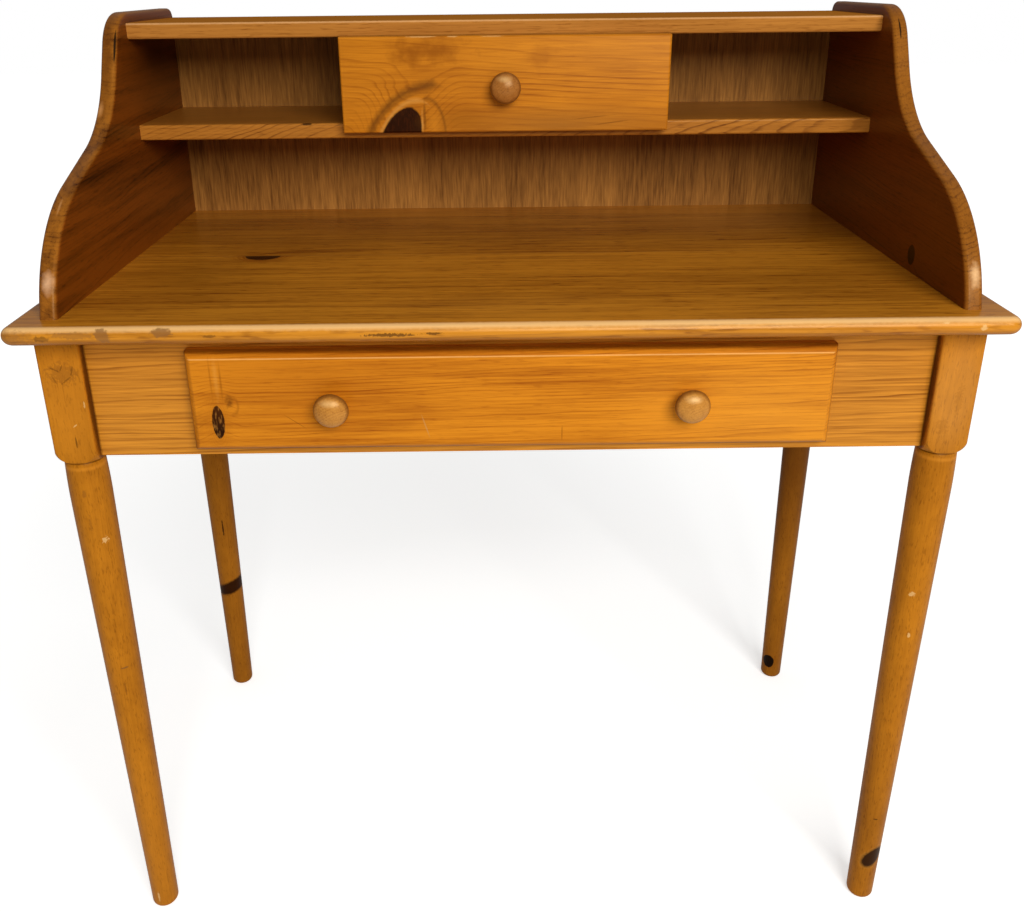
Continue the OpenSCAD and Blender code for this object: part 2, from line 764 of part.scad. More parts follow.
// Dowels that join the sides of a box to its front and to its back
module box_dowels(w, y, l, z, h, play) {
  d = pin_dowel_d + 2 * play;
  rise = groove_up + bottom_t + 2 * fit_play;
  both_sides() for (t = box_dowel_at) {
    at = z + rise + (h - rise) * t;
    bar([w / 2 - box_t / 2, y - front_dowel_in - play, at], [0, 1, 0], d,
      pin_dowel_l + 2 * play);
    bar([w / 2 - side_dowel_wall + play, y + l - box_t / 2, at], [-1, 0, 0], d,
      pin_dowel_l + 2 * play);
  }
}

module box_side(w, y, l, z, h) {
  difference() {
    block([w / 2 - box_t, y, z], [w / 2, y + l, z + h]);
    bottom_groove(w, y, l, z);
    box_dowels(w, y, l, z, h, fit_play);
  }
}

module box_back(w, y, l, z, h) {
  rise = groove_up + bottom_t + 2 * fit_play;
  difference() {
    block([box_t - w / 2, y + l - box_t, z + rise], [w / 2 - box_t, y + l, z + h]);
    box_dowels(w, y, l, z, h, fit_play);
  }
}

module box_bottom(w, y, l, z) {
  x = w / 2 - box_t + groove_d - fit_play;
  block([-x, y - groove_d + fit_play, z + groove_up + fit_play],
    [x, y + l, z + groove_up + fit_play + bottom_t]);
}

// Half-section of a knob: radius against height, with a waisted stem and a domed head
function knob_section() = concat(
  [[0, 0], [knob_foot_d / 2, 0], [knob_foot_d / 2, knob_foot_h]],
  arc([knob_foot_d / 2, knob_stem_h], (knob_foot_d - knob_neck_d) / 2, 225, 180, arc_steps),
  [for (i = [0:arc_steps]) let (a = 90 * i / arc_steps)
    [knob_neck_d / 2 + (knob_d / 2 - knob_rim_in - knob_neck_d / 2) * (1 - cos(a)),
      knob_flare_h + (knob_rim_h - knob_rim_t - knob_flare_h) * sin(a)]],
  [for (i = [0:2 * arc_steps]) let (a = 90 * i / (2 * arc_steps))
    [knob_d / 2 * cos(a), knob_rim_h + (knob_l - knob_rim_h) * sin(a)]]);

module knob(x, y, z) {
  translate([x, y, z]) rotate([90, 0, 0]) difference() {
    rotate_extrude() polygon(knob_section());
    translate([0, 0, -1]) cylinder(d = knob_screw_d + 2 * fit_play, h = knob_bite + 1 + fit_play);
  }
}

// Screw that holds a knob, with its head inside the box
module knob_screw(x, y, z) {
  translate([x, y, z]) {
    rotate([90, 0, 0]) cylinder(d = knob_screw_d, h = front_t + knob_bite);
    rotate([-90, 0, 0]) cylinder(d = screw_head_d, h = head_t);
  }
}

// Bore for that screw through a front
module knob_bore(x, y, z) {
  translate([x, y + 1, z]) rotate([90, 0, 0])
    cylinder(d = knob_screw_d + 2 * fit_play, h = front_t + 2);
}

module drawer_front() {
  color(front_wood) difference() {
    bevelled_front(drawer_w, drawer_h, drawer_back_y, drawer_z, bevel_w, bevel_d);
    bottom_groove(box_w, drawer_back_y, drawer_l, box_z);
    box_dowels(box_w, drawer_back_y, drawer_l, box_z, box_h, fit_play);
    both_sides() knob_bore(knob_x, drawer_back_y, knob_z);
  }
}

module drawer_side_right() {
  color(inner_wood) box_side(box_w, drawer_back_y, drawer_l, box_z, box_h);
}
module drawer_side_left() {
  color(inner_wood) mirror([1, 0, 0]) box_side(box_w, drawer_back_y, drawer_l, box_z, box_h);
}
module drawer_back() {
  color(inner_wood) box_back(box_w, drawer_back_y, drawer_l, box_z, box_h);
}
module drawer_bottom() { color(ply_wood) box_bottom(box_w, drawer_back_y, drawer_l, box_z); }
module drawer_dowels() {
  color(inner_wood) box_dowels(box_w, drawer_back_y, drawer_l, box_z, box_h, 0);
}
module drawer_knob_right() {
  color(knob_wood) knob(knob_x, drawer_back_y - front_t, knob_z);
}
module drawer_knob_left() {
  color(knob_wood) knob(-knob_x, drawer_back_y - front_t, knob_z);
}
module drawer_knob_screws() {
  color(steel) both_sides() knob_screw(knob_x, drawer_back_y, knob_z);
}

module small_drawer_front() {
  color(front_wood) difference() {
    bevelled_front(small_w, small_h, small_back_y, small_z, small_bevel, small_bevel);
    bottom_groove(small_box_w, small_back_y, small_l, small_box_z);
    box_dowels(small_box_w, small_back_y, small_l, small_box_z, small_box_h, fit_play);
    knob_bore(0, small_back_y, small_knob_z);
  }
}

module small_drawer_side_right() {
  color(inner_wood) box_side(small_box_w, small_back_y, small_l, small_box_z, small_box_h);
}
module small_drawer_side_left() {
  color(inner_wood) mirror([1, 0, 0])
    box_side(small_box_w, small_back_y, small_l, small_box_z, small_box_h);
}
module small_drawer_back() {
  color(inner_wood) box_back(small_box_w, small_back_y, small_l, small_box_z, small_box_h);
}
module small_drawer_bottom() {
  color(ply_wood) box_bottom(small_box_w, small_back_y, small_l, small_box_z);
}
module small_drawer_dowels() {
  color(inner_wood) box_dowels(small_box_w, small_back_y, small_l, small_box_z, small_box_h, 0);
}
module small_drawer_knob() { color(knob_wood) knob(0, small_back_y - front_t, small_knob_z); }
module small_drawer_knob_screw() { color(steel) knob_screw(0, small_back_y, small_knob_z); }

desktop();
leg_front_left();
leg_front_right();
leg_rear_left();
leg_rear_right();
front_apron();
rear_apron();
left_apron();
right_apron();
apron_dowels();
corner_blocks();
hanger_bolts();
bolt_washers();
bolt_nuts();
block_screws();
drawer_runner_left();
drawer_runner_right();
tilt_rail_left();
tilt_rail_right();
gallery_side_left();
gallery_side_right();
gallery_shelf();
gallery_cap();
divider_left();
divider_right();
gallery_back();
side_screws();
gallery_dowels();
back_pins();
drawer_front();
drawer_side_left();
drawer_side_right();
drawer_back();
drawer_bottom();
drawer_dowels();
drawer_knob_left();
drawer_knob_right();
drawer_knob_screws();
small_drawer_front();
small_drawer_side_left();
small_drawer_side_right();
small_drawer_back();
small_drawer_bottom();
small_drawer_dowels();
small_drawer_knob();
small_drawer_knob_screw();
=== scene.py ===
"""A pine writing desk with a scalloped gallery, dressed for its picture.

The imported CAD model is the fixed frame. Boards, legs and knobs that show are built again as
smooth surfaces of the same size, and every piece gets the finish of its own wood or metal.
Sizes are in millimetres and angles in degrees, unless a comment says otherwise.
"""
import logging
import math
from dataclasses import dataclass, field
from enum import Enum
from typing import ClassVar

import bmesh
import bpy
import numpy as np
from mathutils import Matrix, Vector


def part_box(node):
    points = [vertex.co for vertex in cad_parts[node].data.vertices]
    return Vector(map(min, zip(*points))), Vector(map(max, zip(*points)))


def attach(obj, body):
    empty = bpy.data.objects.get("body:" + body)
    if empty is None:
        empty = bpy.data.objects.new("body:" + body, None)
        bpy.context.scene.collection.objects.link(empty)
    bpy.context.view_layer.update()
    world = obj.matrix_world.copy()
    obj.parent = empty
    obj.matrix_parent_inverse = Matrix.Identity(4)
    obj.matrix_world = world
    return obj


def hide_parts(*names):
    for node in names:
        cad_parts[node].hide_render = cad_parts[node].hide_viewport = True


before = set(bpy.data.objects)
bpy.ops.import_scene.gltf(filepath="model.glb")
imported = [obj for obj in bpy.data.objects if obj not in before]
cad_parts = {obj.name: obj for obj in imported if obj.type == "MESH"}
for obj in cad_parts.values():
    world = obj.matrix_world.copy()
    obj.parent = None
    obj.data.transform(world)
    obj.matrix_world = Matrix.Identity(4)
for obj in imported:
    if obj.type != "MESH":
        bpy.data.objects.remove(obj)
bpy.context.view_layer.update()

logging.basicConfig(level=logging.INFO, format="%(message)s")
log = logging.getLogger("desk")

MM = 0.001  # one millimetre in Blender's metres
IMAGE_W, IMAGE_H = 1024, 912  # size of the picture, in pixels
SHARP_ANGLE = 28.0  # degrees past which two faces meet at an edge that stays crisp
WELD = 1e-4  # millimetres within which two points are one

Pair = tuple[float, float]
Triple = tuple[float, float, float]
Socket = bpy.types.NodeSocket


# Colour and nodes


def linear(hex_code: str) -> tuple[float, float, float, float]:
    """Turn an sRGB hex value into the linear colour that a shader reads.

    Args:
        hex_code: six hex digits with a leading mark, such as "#C08030".

    Returns:
        Linear red, green and blue, and an alpha of 1.
    """
    parts = [int(hex_code[i:i + 2], 16) / 255 for i in (1, 3, 5)]
    low = [c / 12.92 if c <= 0.04045 else ((c + 0.055) / 1.055) ** 2.4 for c in parts]
    return (*low, 1.0)


class Graph:
    """The node tree of one new material or world."""

    def __init__(self, owner: bpy.types.Material | bpy.types.World) -> None:
        """Empty the owner's node tree.

        Args:
            owner: the material or the world.
        """
        owner.use_nodes = True
        self.tree = owner.node_tree
        self.tree.nodes.clear()

    def add(self, kind: str, *values: object, named: dict | None = None, out: int | str = 0,
            **settings: object) -> Socket:
        """Add one node with its settings and links.

        Args:
            kind: the node's type without its leading "ShaderNode".
            values: what goes into the first inputs, each a value or a socket.
            named: what goes into other inputs, by their name or number.
            out: name or number of the output to return.
            settings: attributes of the node, such as its operation.

        Returns:
            The chosen output, or None from a node without outputs.
        """
        node = self.tree.nodes.new("ShaderNode" + kind)
        for key, value in settings.items():
            setattr(node, key, value)
        for key, value in [*enumerate(values), *(named or {}).items()]:
            if isinstance(value, Socket):
                self.tree.links.new(value, node.inputs[key])
            else:
                node.inputs[key].default_value = value
        return node.outputs[out] if len(node.outputs) else None

    def math(self, operation: str, *values: object) -> Socket:
        """Add a node that works on plain numbers."""
        return self.add("Math", *values, operation=operation)

    def vector(self, operation: str, *values: object, out: int | str = 0) -> Socket:
        """Add a node that works on vectors."""
        return self.add("VectorMath", *values, operation=operation, out=out)

    def part(self, vector: Socket, axis: int) -> Socket:
        """One component of a vector."""
        return self.add("SeparateXYZ", vector, out=axis)

    def ramp(self, value: Socket, low: float, high: float, first: float, last: float,
             kind: str = "LINEAR") -> Socket:
        """From first to last while a value goes from low to high, and level past them."""
        return self.add("MapRange", value, low, high, first, last, interpolation_type=kind)

    def luck(self, number: Socket, out: str = "Value") -> Socket:
        """A value or colour that only the number decides, even but without order."""
        return self.add("TexWhiteNoise", named={"W": number}, noise_dimensions="1D", out=out)

    def cloud(self, place: Socket, scale: float = 1.0, detail: float = 2.0) -> Socket:
        """Smooth noise about 0, mostly within -0.3 and 0.3, with octaves of finer detail."""
        noise = self.add("TexNoise", place, named={"Scale": scale, "Detail": detail})
        return self.math("SUBTRACT", noise, 0.5)

    def mix(self, share: Socket, first: object, second: object) -> Socket:
        """The first colour at a share of 0, the second at 1."""
        return self.add("Mix", share, named={6: first, 7: second}, out=2, data_type="RGBA")


# Finishes

LACQUER_TINT = "#FFDDA8"  # old lacquer gives its shine the warmth of amber


@dataclass(frozen=True)
class Finish:
    """A material of the desk, built the first time that it is asked for."""

    name: str

    def paint(self, g: Graph) -> None:
        """Build the node tree."""
        raise NotImplementedError

    def material(self) -> bpy.types.Material:
        """Return the material, and build it if it is new."""
        found = bpy.data.materials.get(self.name)
        if found is None:
            found = bpy.data.materials.new(self.name)
            self.paint(Graph(found))
        return found


class Grain(Enum):
    """The way a board's fibres run, as the numbers of the axes along, across and deep."""

    X = (0, 1, 2)
    Y = (1, 2, 0)
    Z = (2, 0, 1)

    def scale(self, across: float, along: float) -> Triple:
        """Factors that draw a pattern out along the grain.

        Args:
            across: size of the pattern across the grain, mm.
            along: its size along the grain, mm.

        Returns:
            One factor for each axis.
        """
        factors = [1 / across] * 3
        factors[self.value[0]] = 1 / along
        return tuple(factors)


@dataclass(frozen=True)
class Spot:
    """An ellipsoid in the board that stands out from the wood round it."""

    centre: Triple
    radii: Triple
    shear: Pair = field(default=(0.0, 0.0), kw_only=True)  # X by Z, Z by X
    keep: Triple = field(default=(0.0, 0.0, 0.0), kw_only=True)  # the half that is kept
    cut: float = field(default=99.0, kw_only=True)  # how fast it ends past the middle, per mm
    shell: float = field(default=0.0, kw_only=True)  # half its wall in radii, 0 if it is full

    def distance(self, g: Graph, place: Socket) -> Socket:
        """Distance from the centre in radii, or from the middle of the wall in half walls. It
        grows past the middle on the side that is left off.

        Args:
            g: the material's graph.
            place: position in mm.

        Returns:
            The distance.
        """
        away = g.vector("SUBTRACT", place, self.centre)
        for axis, shift in ((2, (-self.shear[0], 0, 0)), (0, (0, 0, -self.shear[1]))):
            if any(shift):
                away = g.vector("MULTIPLY_ADD", g.part(away, axis), shift, away)
        scaled = g.vector("MULTIPLY", away, tuple(1 / r for r in self.radii))
        far = g.vector("LENGTH", scaled, out="Value")
        if self.shell:
            wall = g.math("ABSOLUTE", g.math("SUBTRACT", far, 1))
            far = g.math("DIVIDE", wall, self.shell)
        if any(self.keep):
            past = g.vector("DOT_PRODUCT", away, tuple(-k for k in self.keep), out="Value")
            far = g.math("MULTIPLY_ADD", g.math("MAXIMUM", past, 0), self.cut, far)
        return far


@dataclass(frozen=True)
class Knot(Spot):
    """A branch cut through by the board's face, with the rings flowing round it."""

    core: str = "#260D02"
    fleck: str = "#7A4310"
    halo: str = "#8A4508"
    collar: float = 1.9  # outer edge of the stained collar, in radii
    stain: float = 0.5
    ragged: float = 0.2
    push: float = 7.0  # how far the rings are pushed aside, mm
    reach: float = 3.2  # where the push has died away, in radii
    grit: float = 5.0  # size of its ragged detail, mm
    fine: float = 24.0  # closeness of the collar's fine rings, radians for each radius
    fleck_scale: Triple = (0.55, 0.3, 0.14)  # how fine its flecks are, for each mm


@dataclass(frozen=True)
class Mark(Spot):
    """A bruise, scratch, chip or patch of dirt of another tone, or a painted highlight or painted
    shade.
    """

    tone: str
    strength: float = 0.7
    ragged: float = 1.2
    grit: float = 3.0
    soft: float = 0.3  # width of its edge, in radii


@dataclass(frozen=True)
class Face:
    """A board's front face, on which a mark needs only its place along X and Z."""

    y: float
    deep: float = 4.0  # how far before and behind the face its marks still show, mm

    def mark(self, x: float, z: float, wide: float, high: float, *look: object,
             deep: float = 0.0, **more: object) -> Mark:
        """A mark about one point of the face.

        Args:
            x: its place along X, mm.
            z: its height, mm.
            wide: half its width, mm.
            high: half its height, mm.
            look: its tone, strength, raggedness, grit and softness, as far as they are given.
            deep: its own depth, in place of the face's, mm.
            more: other settings of the mark.

        Returns:
            The mark.
        """
        return Mark((x, self.y, z), (wide, deep or self.deep, high), *look, **more)


@dataclass(frozen=True)
class Wood(Finish):
    """Wood with a grain that shows as colour and as relief, under a satin or a dull gloss."""

    grain: Grain
    relief: float = field(default=0.12, kw_only=True)  # height of the grain in the bump, mm
    roughness: float = field(default=0.33, kw_only=True)
    specular: float = field(default=0.3, kw_only=True)  # 0.5 for new lacquer

    def place(self, g: Graph) -> Socket:
        """Position on the piece, in mm."""
        return g.add("VectorMath", g.add("TexCoord", out="Object"), named={3: 1 / MM},
                     operation="SCALE")

    def lacquer(self, g: Graph, colour: Socket, grain: Socket) -> None:
        """Close the tree with the wood's surface.

        Args:
            g: the material's graph.
            colour: the wood's colour.
            grain: height of its grain, from 0 to 1.
        """
        bump = g.add("Bump", named={"Strength": 0.3, "Distance": self.relief * MM,
                                    "Height": grain})
        g.add("OutputMaterial", g.add("BsdfPrincipled", named={
            "Base Color": colour, "Roughness": self.roughness, "Normal": bump,
            "Specular IOR Level": self.specular, "Specular Tint": linear(LACQUER_TINT)}))


@dataclass(frozen=True)
class Pine(Wood):
    """Lacquered pine, planed or turned. Rings of pale early wood and narrow amber late wood
    lie round a pith outside the board, so each face shows the figure that its cut gives.
    Soft streaks and short dark resin strokes run along the grain, under a warm satin gloss.
    Real fibres are finer than the picture shows, so the finest streaks are drawn wider."""

    pith: Pair  # place of the pith on the across and deep axes, mm
    light: str = "#DE9233"
    dark: str = "#9C5216"
    faces: tuple[str, str] | None = None  # tones of the broad faces square to X, darker: painted shade where little light falls
    slope: Pair = (0.012, 0.02)  # drift of the pith for each mm along
    ring: float = 5.0  # width of one year's growth, mm
    late: float = 0.42  # share of the ring in which it darkens
    contrast: float = 0.5
    wobble: float = 14.0  # slow waviness of the rings, mm
    uneven: float = 5.0  # unevenness of their spacing, mm
    waves: tuple[Pair, Pair] = ((60.0, 420.0), (11.0, 140.0))  # sizes of both across and along
    patches: Pair = (24.0, 160.0)  # size of the stretches in which a ring is fainter, mm
    layers: tuple[Triple, ...] = ((1.7, 60.0, 0.55), (5.0, 170.0, 0.55), (85.0, 260.0, 0.5))
    dash: Triple = (1.3, 16.0, 0.3)  # width, length and strength of the resin strokes
    stave: float = 0.0  # width of the glued staves, mm, or 0 for one board
    joint: float = 0.0  # place of one glue joint across the grain, mm
    stave_tone: float = 0.25
    stave_shift: float = 46.0  # how far a stave's rings are moved from its neighbour's, mm
    glue_w: float = 0.9  # half width of the shade at a glue joint, mm
    peak: float = 0.92  # where in the ring the late wood is darkest
    base: float = 0.22  # how dark the wood is where nothing else darkens it
    seed: float = 0.0
    knots: tuple[Knot, ...] = ()
    marks: tuple[Mark, ...] = ()

    def noise(self, g: Graph, place: Socket, across: float, along: float,
              detail: float = 2.0) -> Socket:
        """A smooth random field drawn out along the grain.

        Args:
            g: the material's graph.
            place: position in mm.
            across: size of its features across the grain, mm.
            along: size of its features along the grain, mm.
            detail: octaves of finer detail.

        Returns:
            A value about 0, mostly within -0.3 and 0.3.
        """
        shift = (self.seed, 2.3 * self.seed, across)  # a place of its own in the noise
        scaled = g.vector("MULTIPLY_ADD", place, self.grain.scale(across, along), shift)
        return g.cloud(scaled, detail=detail)

    def roughen(self, g: Graph, place: Socket, far: Socket, amount: float, grit: float) -> Socket:
        """Add even noise to a distance, so that the edge it draws is ragged."""
        return g.math("MULTIPLY_ADD", g.cloud(place, 1 / grit, 3), amount, far)

    def staves(self, g: Graph, place: Socket, keep: list[int]) -> tuple[Socket, Socket]:
        """The glued staves, each from another part of a tree.

        Args:
            g: the material's graph.
            place: position in mm.
            keep: 0 for the axis along the grain and 1 for each of the others.

        Returns:
            How far a stave's rings are moved, and its tone about 0, darker at the joints.
        """
        across = g.part(place, self.grain.value[1])
        staves = g.math("MULTIPLY_ADD", across, 1 / self.stave, -self.joint / self.stave)
        luck = g.luck(g.math("ADD", g.math("FLOOR", staves), self.seed + 0.5), "Color")
        moved = g.vector("MULTIPLY", luck, tuple(self.stave_shift * k for k in keep))
        tone = g.math("SUBTRACT", g.part(luck, 1), 0.5)
        edge = g.math("ABSOLUTE", g.math("SUBTRACT", g.math("FRACT", staves), 0.5))
        gap = g.ramp(edge, 0.5 - self.glue_w / self.stave, 0.5, 0, 0.6)
        return moved, g.math("ADD", tone, gap)

    def rings(self, g: Graph, place: Socket, away: list[Socket]) -> tuple[Socket, Socket]:
        """Growth rings, as distance from the pith over the width of a ring.

        Args:
            g: the material's graph.
            place: position in mm.
            away: distance from each knot, in its radii.

        Returns:
            Darkness of the late wood from 0 to 1, and the tone of the stave about 0.
        """
        axis_along, *square = self.grain.value
        keep, pith, slope = [1] * 3, [0] * 3, [0] * 3
        keep[axis_along] = 0
        for axis, at, drift in zip(square, self.pith, self.slope):
            pith[axis], slope[axis] = -at, -drift
        section = g.vector("MULTIPLY_ADD", place, tuple(keep), tuple(pith))
        drifted = g.vector("MULTIPLY_ADD", g.part(place, axis_along), tuple(slope), section)
        tone = None
        if self.stave:
            moved, tone = self.staves(g, place, keep)
            drifted = g.vector("ADD", drifted, moved)
        radius = g.vector("LENGTH", drifted, out="Value")
        for size, sway in zip(self.waves, (self.wobble, self.uneven)):
            radius = g.math("MULTIPLY_ADD", self.noise(g, place, *size), sway, radius)
        for knot, far in zip(self.knots, away):
            push = g.ramp(far, 0.5, knot.reach, -knot.push, 0, "SMOOTHERSTEP")
            radius = g.math("ADD", radius, push)
        years = g.math("DIVIDE", radius, self.ring)
        year = g.math("FRACT", years)
        darker = g.ramp(year, 1 - self.late, self.peak, 0, 1, "SMOOTHSTEP")
        band = g.math("MULTIPLY", darker, g.ramp(year, self.peak, 1, 1, 0, "SMOOTHSTEP"))
        luck = g.luck(g.math("ADD", g.math("FLOOR", years), self.seed))
        patchy = g.ramp(self.noise(g, place, *self.patches), -0.15, 0.15, 0.4, 1)
        weight = g.math("MULTIPLY", g.ramp(luck, 0, 1, 0.2, 1), patchy)
        return g.math("MULTIPLY", band, weight), tone

    def paint(self, g: Graph) -> None:
        """Lay streaks and clouds over the rings, then the knots and the marks.

        Args:
            g: the material's graph.
        """
        place = self.place(g)
        away = [knot.distance(g, place) for knot in self.knots]
        band, stave_tone = self.rings(g, place, away)
        width, length, strength = self.dash
        strokes = g.ramp(self.noise(g, place, width, length, 1), 0.08, 0.2, 0, strength)
        depth = g.math("ADD", g.math("MULTIPLY_ADD", band, self.contrast, self.base), strokes)
        layers = [(self.noise(g, place, *size), weight) for *size, weight in self.layers]
        if stave_tone:
            layers.append((stave_tone, self.stave_tone))
        for layer, weight in layers:
            depth = g.math("MULTIPLY_ADD", layer, weight, depth)
        colour = g.mix(depth, linear(self.light), linear(self.dark))
        # Painted shade: faces that point along X take the darker tones of faces.
        if self.faces:
            turned = g.vector("ABSOLUTE", g.add("TexCoord", out="Normal"))
            broad = g.ramp(g.part(turned, 0), 0.7, 0.98, 0, 1)
            colour = g.mix(broad, colour, g.mix(depth, *map(linear, self.faces)))
        for knot, far in zip(self.knots, away):
            colour = self.knotted(g, place, colour, knot, far)
        for mark in self.marks:
            far = self.roughen(g, place, mark.distance(g, place), mark.ragged, mark.grit)
            mask = g.ramp(far, 1 - mark.soft, 1, mark.strength, 0)
            colour = g.mix(mask, colour, linear(mark.tone))
        self.lacquer(g, colour, depth)

    def knotted(self, g: Graph, place: Socket, colour: Socket, knot: Knot, far: Socket) -> Socket:
        """Lay one knot over the wood: a stained collar with fine rings, then the dark core
        with its paler flecks.

        Args:
            g: the material's graph.
            place: position in mm.
            colour: the wood's colour so far.
            knot: the knot.
            far: distance from its centre, in its radii.

        Returns:
            The colour with the knot.
        """
        ragged = self.roughen(g, place, far, knot.ragged, knot.grit)
        ripple = g.math("SINE", g.math("MULTIPLY", ragged, knot.fine))
        fade = g.ramp(ragged, 1, knot.collar, knot.stain, 0)
        stain = g.math("MULTIPLY", fade, g.ramp(ripple, -1, 1, 0.45, 1))
        colour = g.mix(stain, colour, linear(knot.halo))
        stretched = g.vector("MULTIPLY", place, knot.fleck_scale)
        flecks = g.ramp(g.add("TexNoise", stretched, named={"Scale": 1}), 0.5, 0.68, 0, 0.7)
        heart = g.mix(flecks, linear(knot.core), linear(knot.fleck))
        return g.mix(g.ramp(ragged, 0.96, 1.02, 1, 0), colour, heart)


@dataclass(frozen=True)
class Plywood(Wood):
    """Rotary-cut plywood under thin lacquer: no rings, only fine pores along the grain and
    wide soft bands of brown. The pores are drawn a little wider than real ones, to show."""

    light: str
    dark: str
    base: float = 0.45  # how dark the wood is on the whole
    layers: tuple[Triple, ...] = ((1.6, 26.0, 1.0), (5.0, 90.0, 0.5), (60.0, 500.0, 0.9))
    relief: float = field(default=0.15, kw_only=True)
    roughness: float = field(default=0.5, kw_only=True)
    specular: float = field(default=0.2, kw_only=True)

    def paint(self, g: Graph) -> None:
        """Lay pores, threads and broad bands of noise over each other.

        Args:
            g: the material's graph.
        """
        place = self.place(g)
        depth = self.base
        for width, length, weight in self.layers:
            stretched = g.vector("MULTIPLY", place, self.grain.scale(width, length))
            depth = g.math("MULTIPLY_ADD", g.cloud(stretched), weight, depth)
        self.lacquer(g, g.mix(depth, linear(self.light), linear(self.dark)), depth)


@dataclass(frozen=True)
class ZincSteel(Finish):
    """Zinc-plated steel, as on screws and bolts from a rack: a cool grey that shines softly."""

    name: str = "zinc_plated_steel"
    colour: str = "#B4B6B6"
    roughness: float = 0.38

    def paint(self, g: Graph) -> None:
        """One even metal."""
        shader = g.add("BsdfPrincipled", named={
            "Base Color": linear(self.colour), "Metallic": 1.0, "Roughness": self.roughness})
        g.add("OutputMaterial", shader)


# Shapes


def arc(centre: Pair, radius: float, start: float, end: float, steps: int) -> np.ndarray:
    """Points of a circular arc: the centre plus the radius times (cosine, sine).

    Args:
        centre: centre of the arc.
        radius: its radius.
        start: first angle in degrees.
        end: last angle in degrees.
        steps: number of equal steps between them.

    Returns:
        An array of steps + 1 points.
    """
    angle = np.radians(np.linspace(start, end, steps + 1))
    return np.stack([centre[0] + radius * np.cos(angle), centre[1] + radius * np.sin(angle)], 1)


def at_height(plan: np.ndarray, height: float | np.ndarray) -> np.ndarray:
    """Points of a plan in X and Y, lifted to a height in Z."""
    return np.column_stack([plan, np.broadcast_to(height, len(plan))])


def box_mm(node: str) -> tuple[np.ndarray, np.ndarray]:
    """Lowest and highest corner of a CAD node, in mm."""
    low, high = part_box(node)
    return np.array(low) / MM, np.array(high) / MM


def place_piece(piece: bpy.types.Object, finish: Finish, body: str, slot: str,
                *nodes: str) -> None:
    """Give a piece its finish and its body, and hide the CAD nodes that it stands for.

    Args:
        piece: the finished object.
        finish: its finish.
        body: the CAD body that it rides on.
        slot: not used.
        nodes: the CAD nodes that it replaces.
    """
    piece.data.materials.append(finish.material())
    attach(piece, body)
    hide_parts(*nodes)


def dress_nodes(finish: Finish, *nodes: str) -> None:
    """Put one finish on CAD nodes that show as they are.

    Args:
        finish: the finish.
        nodes: the CAD nodes.
    """
    for node in nodes:
        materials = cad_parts[node].data.materials
        materials.clear()
        materials.append(finish.material())
        log.info("%s: CAD node in %s", node, finish.name)


@dataclass
class Shape:
    """The form of one kind of piece, skinned over rings of points that follow the box of its
    CAD node. Flat faces close the first ring and the last, and a third one joins the ends of
    rings that are open."""

    suffix: ClassVar[str] = "_board"  # what the piece's name adds to its node's
    closed: ClassVar[bool] = True  # whether each ring is closed
    soften: ClassVar[float] = 0.0  # width of a small rounding of each crisp edge, mm

    def rings(self, low: np.ndarray, high: np.ndarray) -> np.ndarray:
        """The rings between the box's lowest and highest corner, in mm."""
        raise NotImplementedError

    def faces(self, count: int, width: int) -> list[list[int]]:
        """Number the points of each face: quads between every two rings, then the flat faces.

        Args:
            count: number of rings.
            width: number of points of one ring.

        Returns:
            The faces.
        """
        number = np.arange(count * width).reshape(count, width)
        rows = np.concatenate([number, number[:, :1]], 1) if self.closed else number
        quads = np.stack([rows[:-1, :-1], rows[:-1, 1:], rows[1:, 1:], rows[1:, :-1]], -1)
        flats = [number[0], number[-1]]
        if not self.closed:
            flats.append(np.concatenate([number[:, 0], number[::-1, -1]]))
        return [*quads.reshape(-1, 4).tolist(), *(flat.tolist() for flat in flats)]

    def build(self, node: str) -> bpy.types.Object:
        """Weld the points, drop what closed up, turn every face outwards and shade it.

        Args:
            node: the CAD node that the piece stands for.

        Returns:
            The finished object, at the origin, in metres.
        """
        name = node + self.suffix
        rings = self.rings(*box_mm(node))
        points = rings.reshape(-1, 3)
        keys = np.round(points / WELD).astype(np.int64)
        _, first, merged = np.unique(keys, axis=0, return_index=True, return_inverse=True)
        merged = merged.reshape(-1)
        welded = [list(dict.fromkeys(merged[f].tolist())) for f in self.faces(*rings.shape[:2])]
        mesh = bpy.data.meshes.new(name)
        mesh.from_pydata((points[first] * MM).tolist(), [], [f for f in welded if len(f) > 2])
        solid = bmesh.new()
        solid.from_mesh(mesh)
        bmesh.ops.recalc_face_normals(solid, faces=solid.faces)
        open_edges = sum(not edge.is_manifold for edge in solid.edges)
        solid.to_mesh(mesh)
        solid.free()
        mesh.shade_smooth()
        mesh.set_sharp_from_angle(angle=math.radians(SHARP_ANGLE))
        piece = bpy.data.objects.new(name, mesh)
        bpy.context.scene.collection.objects.link(piece)
        if self.soften:
            bevel = piece.modifiers.new("softened arrises", "BEVEL")
            bevel.width = self.soften * MM
            bevel.segments = 3
            bevel.limit_method = "ANGLE"
            bevel.angle_limit = math.radians(SHARP_ANGLE)
            bevel.harden_normals = True
        else:
            weighted = piece.modifiers.new("flat faces stay flat", "WEIGHTED_NORMAL")
            weighted.keep_sharp = True
        log.info("%s: %d faces, %d open edges", name, len(mesh.polygons), open_edges)
        return piece


